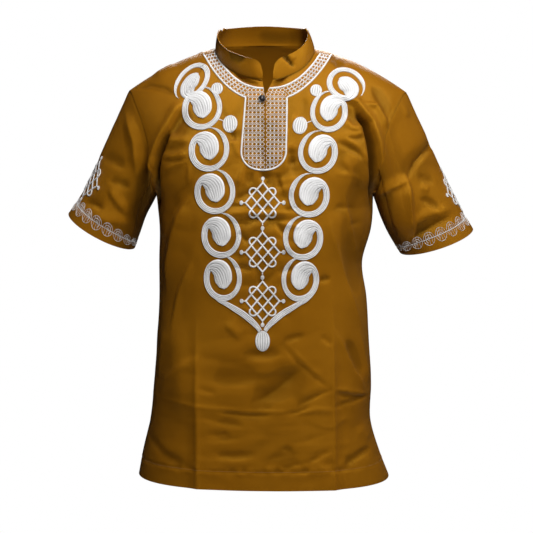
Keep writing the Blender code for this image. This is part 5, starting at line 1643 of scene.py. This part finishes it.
# Turned hems inside the bottom edge and the cuffs, and their stitches

turning = {
    "gap": 0.0011,
    "cloth": 0.0007,
    "stitch": 0.0026,
    "stitchPitch": 0.0036,
    "stitchThread": 0.0006,
}


def addBand(name, made, chosen, faces):
    # a band of cloth turned up inside an edge; chosen tells its points of the cloth
    normals = made["normals"][chosen].reshape(-1, 3)
    points = made["points"][chosen].reshape(-1, 3) - normals * (body["cloth"] + turning["gap"] * 0.3)
    weave = made["weave"][chosen].reshape(-1, 3)
    return addShell(name, points, faces, normals, weave, np.full(len(points), 0.5), turning["cloth"])


def hemRow(panel, number):
    # the row of points that lies at the hem's depth in this column
    heights = panel["points"][panel["index"][:, number], 2] - body["sections"][-1][0]
    return int(np.argmin(np.abs(heights - body["hemDepth"])))


def addHem(name, panel):
    grid = np.array([unique(row) for row in panel["index"][: hemRow(panel, 3) + 1]])
    faces = gridFaces(np.arange(grid.size).reshape(grid.shape))
    points, normals = panel["points"][grid].reshape(-1, 3), panel["normals"][grid].reshape(-1, 3)
    if np.dot(faceNormals(points, faces)[5], normals[faces[5, 0]]) < 0:
        faces = faces[:, ::-1]
    return addBand(name, panel, grid, faces)


def unique(row):
    # a row of vertex numbers with the doubled middle column once
    return row[np.concatenate([[True], row[1:] != row[:-1]])]


def addCuffHem(name, made):
    rows, count = made["rows"], made["count"]
    deep = int(round(sleeve["hemDepth"] / made["length"] * (rows - 1)))
    faces = tubeFaces(deep + 1, count)
    chosen = np.arange((rows - 1 - deep) * count, rows * count)
    return addBand(name, made, chosen, faces[:, ::-1] if made["side"] > 0 else faces)


def alongOnly(run, count):
    # the "along" values of a thin thread: its length at each ring of points
    return np.stack([np.repeat(run, count), np.zeros(len(run) * count), np.zeros(len(run) * count)], axis=1)


def addStitches(basket, places, normals):
    # short stitches along a line of cloth points
    run, at = runOf(places), 0.002
    half = turning["stitchThread"] / 2
    while at + turning["stitch"] < run[-1]:
        ends = at + turning["stitch"] * np.array([0.0, 0.5, 1.0])
        spine, out = (np.stack([np.interp(ends, run, line[:, k]) for k in range(3)], axis=1)
                      for line in (places, normals))
        out = unit(out)
        side = unit(np.cross(out, unit(spine[2] - spine[0])))
        centre = spine + out * np.array([0.0, 0.0003, 0.0])[:, None]
        rings = np.stack([centre + way * half for way in (side, out, -side, -out)], axis=1)
        faces = [face[::-1] for face in cappedTube(3, 4)]
        basket.add(rings.reshape(-1, 3), faces, alongOnly(ends, 4), np.full(12, 0.8))
        at += turning["stitchPitch"]


# Button and its loop

button = {
    "place": (-0.0052, -0.0915),
    "radius": 0.0056,
    "sides": 56,
    "loopAcross": 0.0066,
    "loopUp": 0.0062,
    "loopThread": 0.00105,
    "strands": 3,
    "loopTwists": 5,
    "loopSides": 6,
}


def addButton(surface):
    x, z = button["place"]
    hit, normal, _, _ = surface.ray_cast(Vector((x, -1.0, z)), Vector((0, 1, 0)))
    place, normal = np.array(hit), np.array(normal)
    if normal[1] > 0:
        normal = -normal
    normal = unit(normal * np.array([0.4, 1.0, 0.6]))
    r = button["radius"]
    profile = [
        (0.0, 0.0004), (0.0022, 0.0004), (0.0024, 0.0018), (r * 0.80, 0.0020), (r * 0.96, 0.0024),
        (r, 0.0030), (r * 0.985, 0.0037), (r * 0.93, 0.0042), (r * 0.86, 0.0043), (r * 0.80, 0.0041),
        (r * 0.74, 0.0042), (r * 0.60, 0.0048), (r * 0.42, 0.0052), (r * 0.22, 0.0054), (0.0, 0.0055),
    ]
    sideA = unit(np.cross(normal, np.array([0.0, 0.0, 1.0])))
    sideB = np.cross(normal, sideA)
    count = button["sides"]
    turns = np.linspace(0, 2 * math.pi, count, endpoint=False)
    spokes = np.cos(turns)[:, None] * sideA + np.sin(turns)[:, None] * sideB
    points, rings, faces = [], [], []
    for radius, height in profile:
        # a single point at the middle, and a ring everywhere else
        ring = place + normal * height + (spokes * radius if radius else 0 * spokes[:1])
        rings.append([len(points) + (k if radius else 0) for k in range(count)])
        points += list(ring)
    for low, high in zip(rings[:-1], rings[1:]):
        for k in range(count):
            j = (k + 1) % count
            faces.append(list(dict.fromkeys([low[k], low[j], high[j], high[k]])))
    piece = addMesh("button_domed", points, faces, buttonMaterial, "button", 50)
    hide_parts("button")
    return place, normal


def addLoop(place, normal):
    # three strands twisted together, round the button's right side
    sideA = unit(np.array([1.0, 0.0, 0.0]) - normal * normal[0])
    sideB = np.cross(sideA, normal)
    if sideB[2] < 0:
        sideB = -sideB
    turns = np.radians(np.linspace(-80, 80, 44))
    flare = 1.0 + 0.25 * np.abs(np.sin(turns)) ** 3
    spine = place + (button["loopAcross"] * np.cos(turns) * flare)[:, None] * sideA
    spine = spine + (button["loopUp"] * np.sin(turns))[:, None] * sideB + normal * 0.0019
    flatSide = unit(np.cross(unit(np.gradient(spine, axis=0)), normal))
    count, sides, thread = len(spine), button["loopSides"], button["loopThread"]
    twist = np.linspace(0, 2 * math.pi * button["loopTwists"], count)
    basket = MeshBasket()
    for strand in range(button["strands"]):
        phase = 2 * math.pi * strand / button["strands"] + twist
        core = spine + (np.cos(phase)[:, None] * flatSide + np.sin(phase)[:, None] * normal) * thread * 0.45
        around = 2 * math.pi * np.arange(sides)[None, :, None] / sides
        points = core[:, None] + (np.cos(around) * flatSide[:, None] + np.sin(around) * normal) * thread * 0.5
        # painted light on the outer side of each strand, painted shade on its inner side
        basket.add(points.reshape(-1, 3), cappedTube(count, sides), alongOnly(np.arange(count) * 0.0005, sides),
                   0.5 + 0.5 * np.repeat(np.sin(phase), sides))
    piece = basket.piece("button_loop_twisted", loopMaterial, "loop_thread")
    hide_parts("button_loop")


def addCloth(name, made, thickness, node):
    piece = addShell(name, made["points"], made["faces"], made["normals"], made["weave"], made["tone"], thickness)
    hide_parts(node)
    print(name, "faces:", len(piece.data.polygons))
    return piece


def embroider(name, draw, *given):
    # one piece of embroidery: draw lays its cords into the basket
    basket = MeshBasket()
    draw(basket, *given)
    return basket.piece(name, threadMaterial, "embroidery")


makeStudio()

front = buildPanel(-1, body["frontGrid"], frontFolds, frontRipples)
back = buildPanel(1, body["backGrid"], backFolds, backRipples)
sleeves = {side: buildSleeve(front, back, side) for side in (-1, 1)}
neckBand = buildCollar(front, back)
print("cloth: shapes made")

clothMaterial = makeClothMaterial()
twistGroup = buildTwistGroup()
threadMaterial = makeThreadMaterial("white corded thread", twistGroup, threadLook)
stitchMaterial = makeThreadMaterial("mustard sewing thread", twistGroup, stitchLook)
loopMaterial = makeThreadMaterial("brown loop thread", twistGroup, loopLook)
buttonMaterial = makeButtonMaterial()
print("materials: made")

words = {-1: "left", 1: "right"}
frontPiece = addCloth("front_panel", front, body["cloth"], "front")
backPiece = addCloth("back_panel", back, body["cloth"], "back")
frontHem, backHem = addHem("front_hem", front), addHem("back_hem", back)
collarPiece = addCloth("stand_collar", neckBand, collar["thickness"], "collar")
sleevePieces, cuffHems = {}, {}
for side, word in words.items():
    sleevePieces[side] = addCloth("sleeve_panel_" + word, sleeves[side], body["cloth"], "sleeve_" + word)
    cuffHems[side] = addCuffHem("cuff_hem_" + word, sleeves[side])

# stitches of the hem and the cuffs
basket = MeshBasket()
for panel in (front, back):
    row = unique(panel["index"][hemRow(panel, panel["last"])])
    addStitches(basket, panel["points"][row], panel["normals"][row])
stitchPiece = basket.piece("hem_stitches", stitchMaterial, "cloth")
basket = MeshBasket()
for made in sleeves.values():
    around = np.linspace(0, made["round"], 220)
    addStitches(basket, *sleevePlace(made, around, np.full(220, sleeve["stitchesUp"])))
cuffStitchPiece = basket.piece("cuff_stitches", stitchMaterial, "cloth")
print("hems: turned and stitched")

surface = surfaceOf(front)
for side, word in words.items():
    for number, scroll in enumerate(scrolls[side]):
        piece = embroider(f"corded_scroll_{word}_{number + 1}", addScroll, side, scroll, surface)
        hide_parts(f"scroll_{word}_{number + 1}")
    piece = embroider("corded_tail_" + word, addTail, side, surface)
    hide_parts("tail_" + word)
    for name in ("dot", "oval"):
        piece = embroider(f"satin_{name}_{word}", addRound, name, side, surface)
        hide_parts(f"{name}_{word}")
    curve = bandCurve(side, "inner", band["innerStart"], band["innerEnd"][side])
    piece = embroider("neck_line_corded_" + word, threadLine, curve, cordwork["lineWidth"], surface,
                      cordwork["lineHeight"])
    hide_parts("neck_line_" + word)
piece = embroider("bib_border_corded", threadLine, borderPath(), cordwork["lineWidth"], surface,
                  cordwork["lineHeight"])
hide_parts("bib_border")
piece = embroider("satin_drop", addRound, "drop", 0, surface)
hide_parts("drop")
for number, z in enumerate(knots["heights"]):
    below = "bud" if number == 2 else "stem"
    piece = embroider(f"corded_knot_front_{number + 1}", addKnot, (0.0, z), below, surface)
    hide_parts(f"knot_front_{number + 1}")
embroider("bib_lattice", addLattice, surface)
print("embroidery: front done")

for side, word in words.items():
    made = sleeves[side]
    piece = embroider("corded_knot_sleeve_" + word, addKnot, (0.0, 0.0), "bud",
                      sleeveSurface(made, *knots["sleeve"][side]))
    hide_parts("knot_sleeve_" + word)
    embroider("cuff_border_" + word, addCuffBorder, made)
print("embroidery: sleeves done")

addLoop(*addButton(surface))
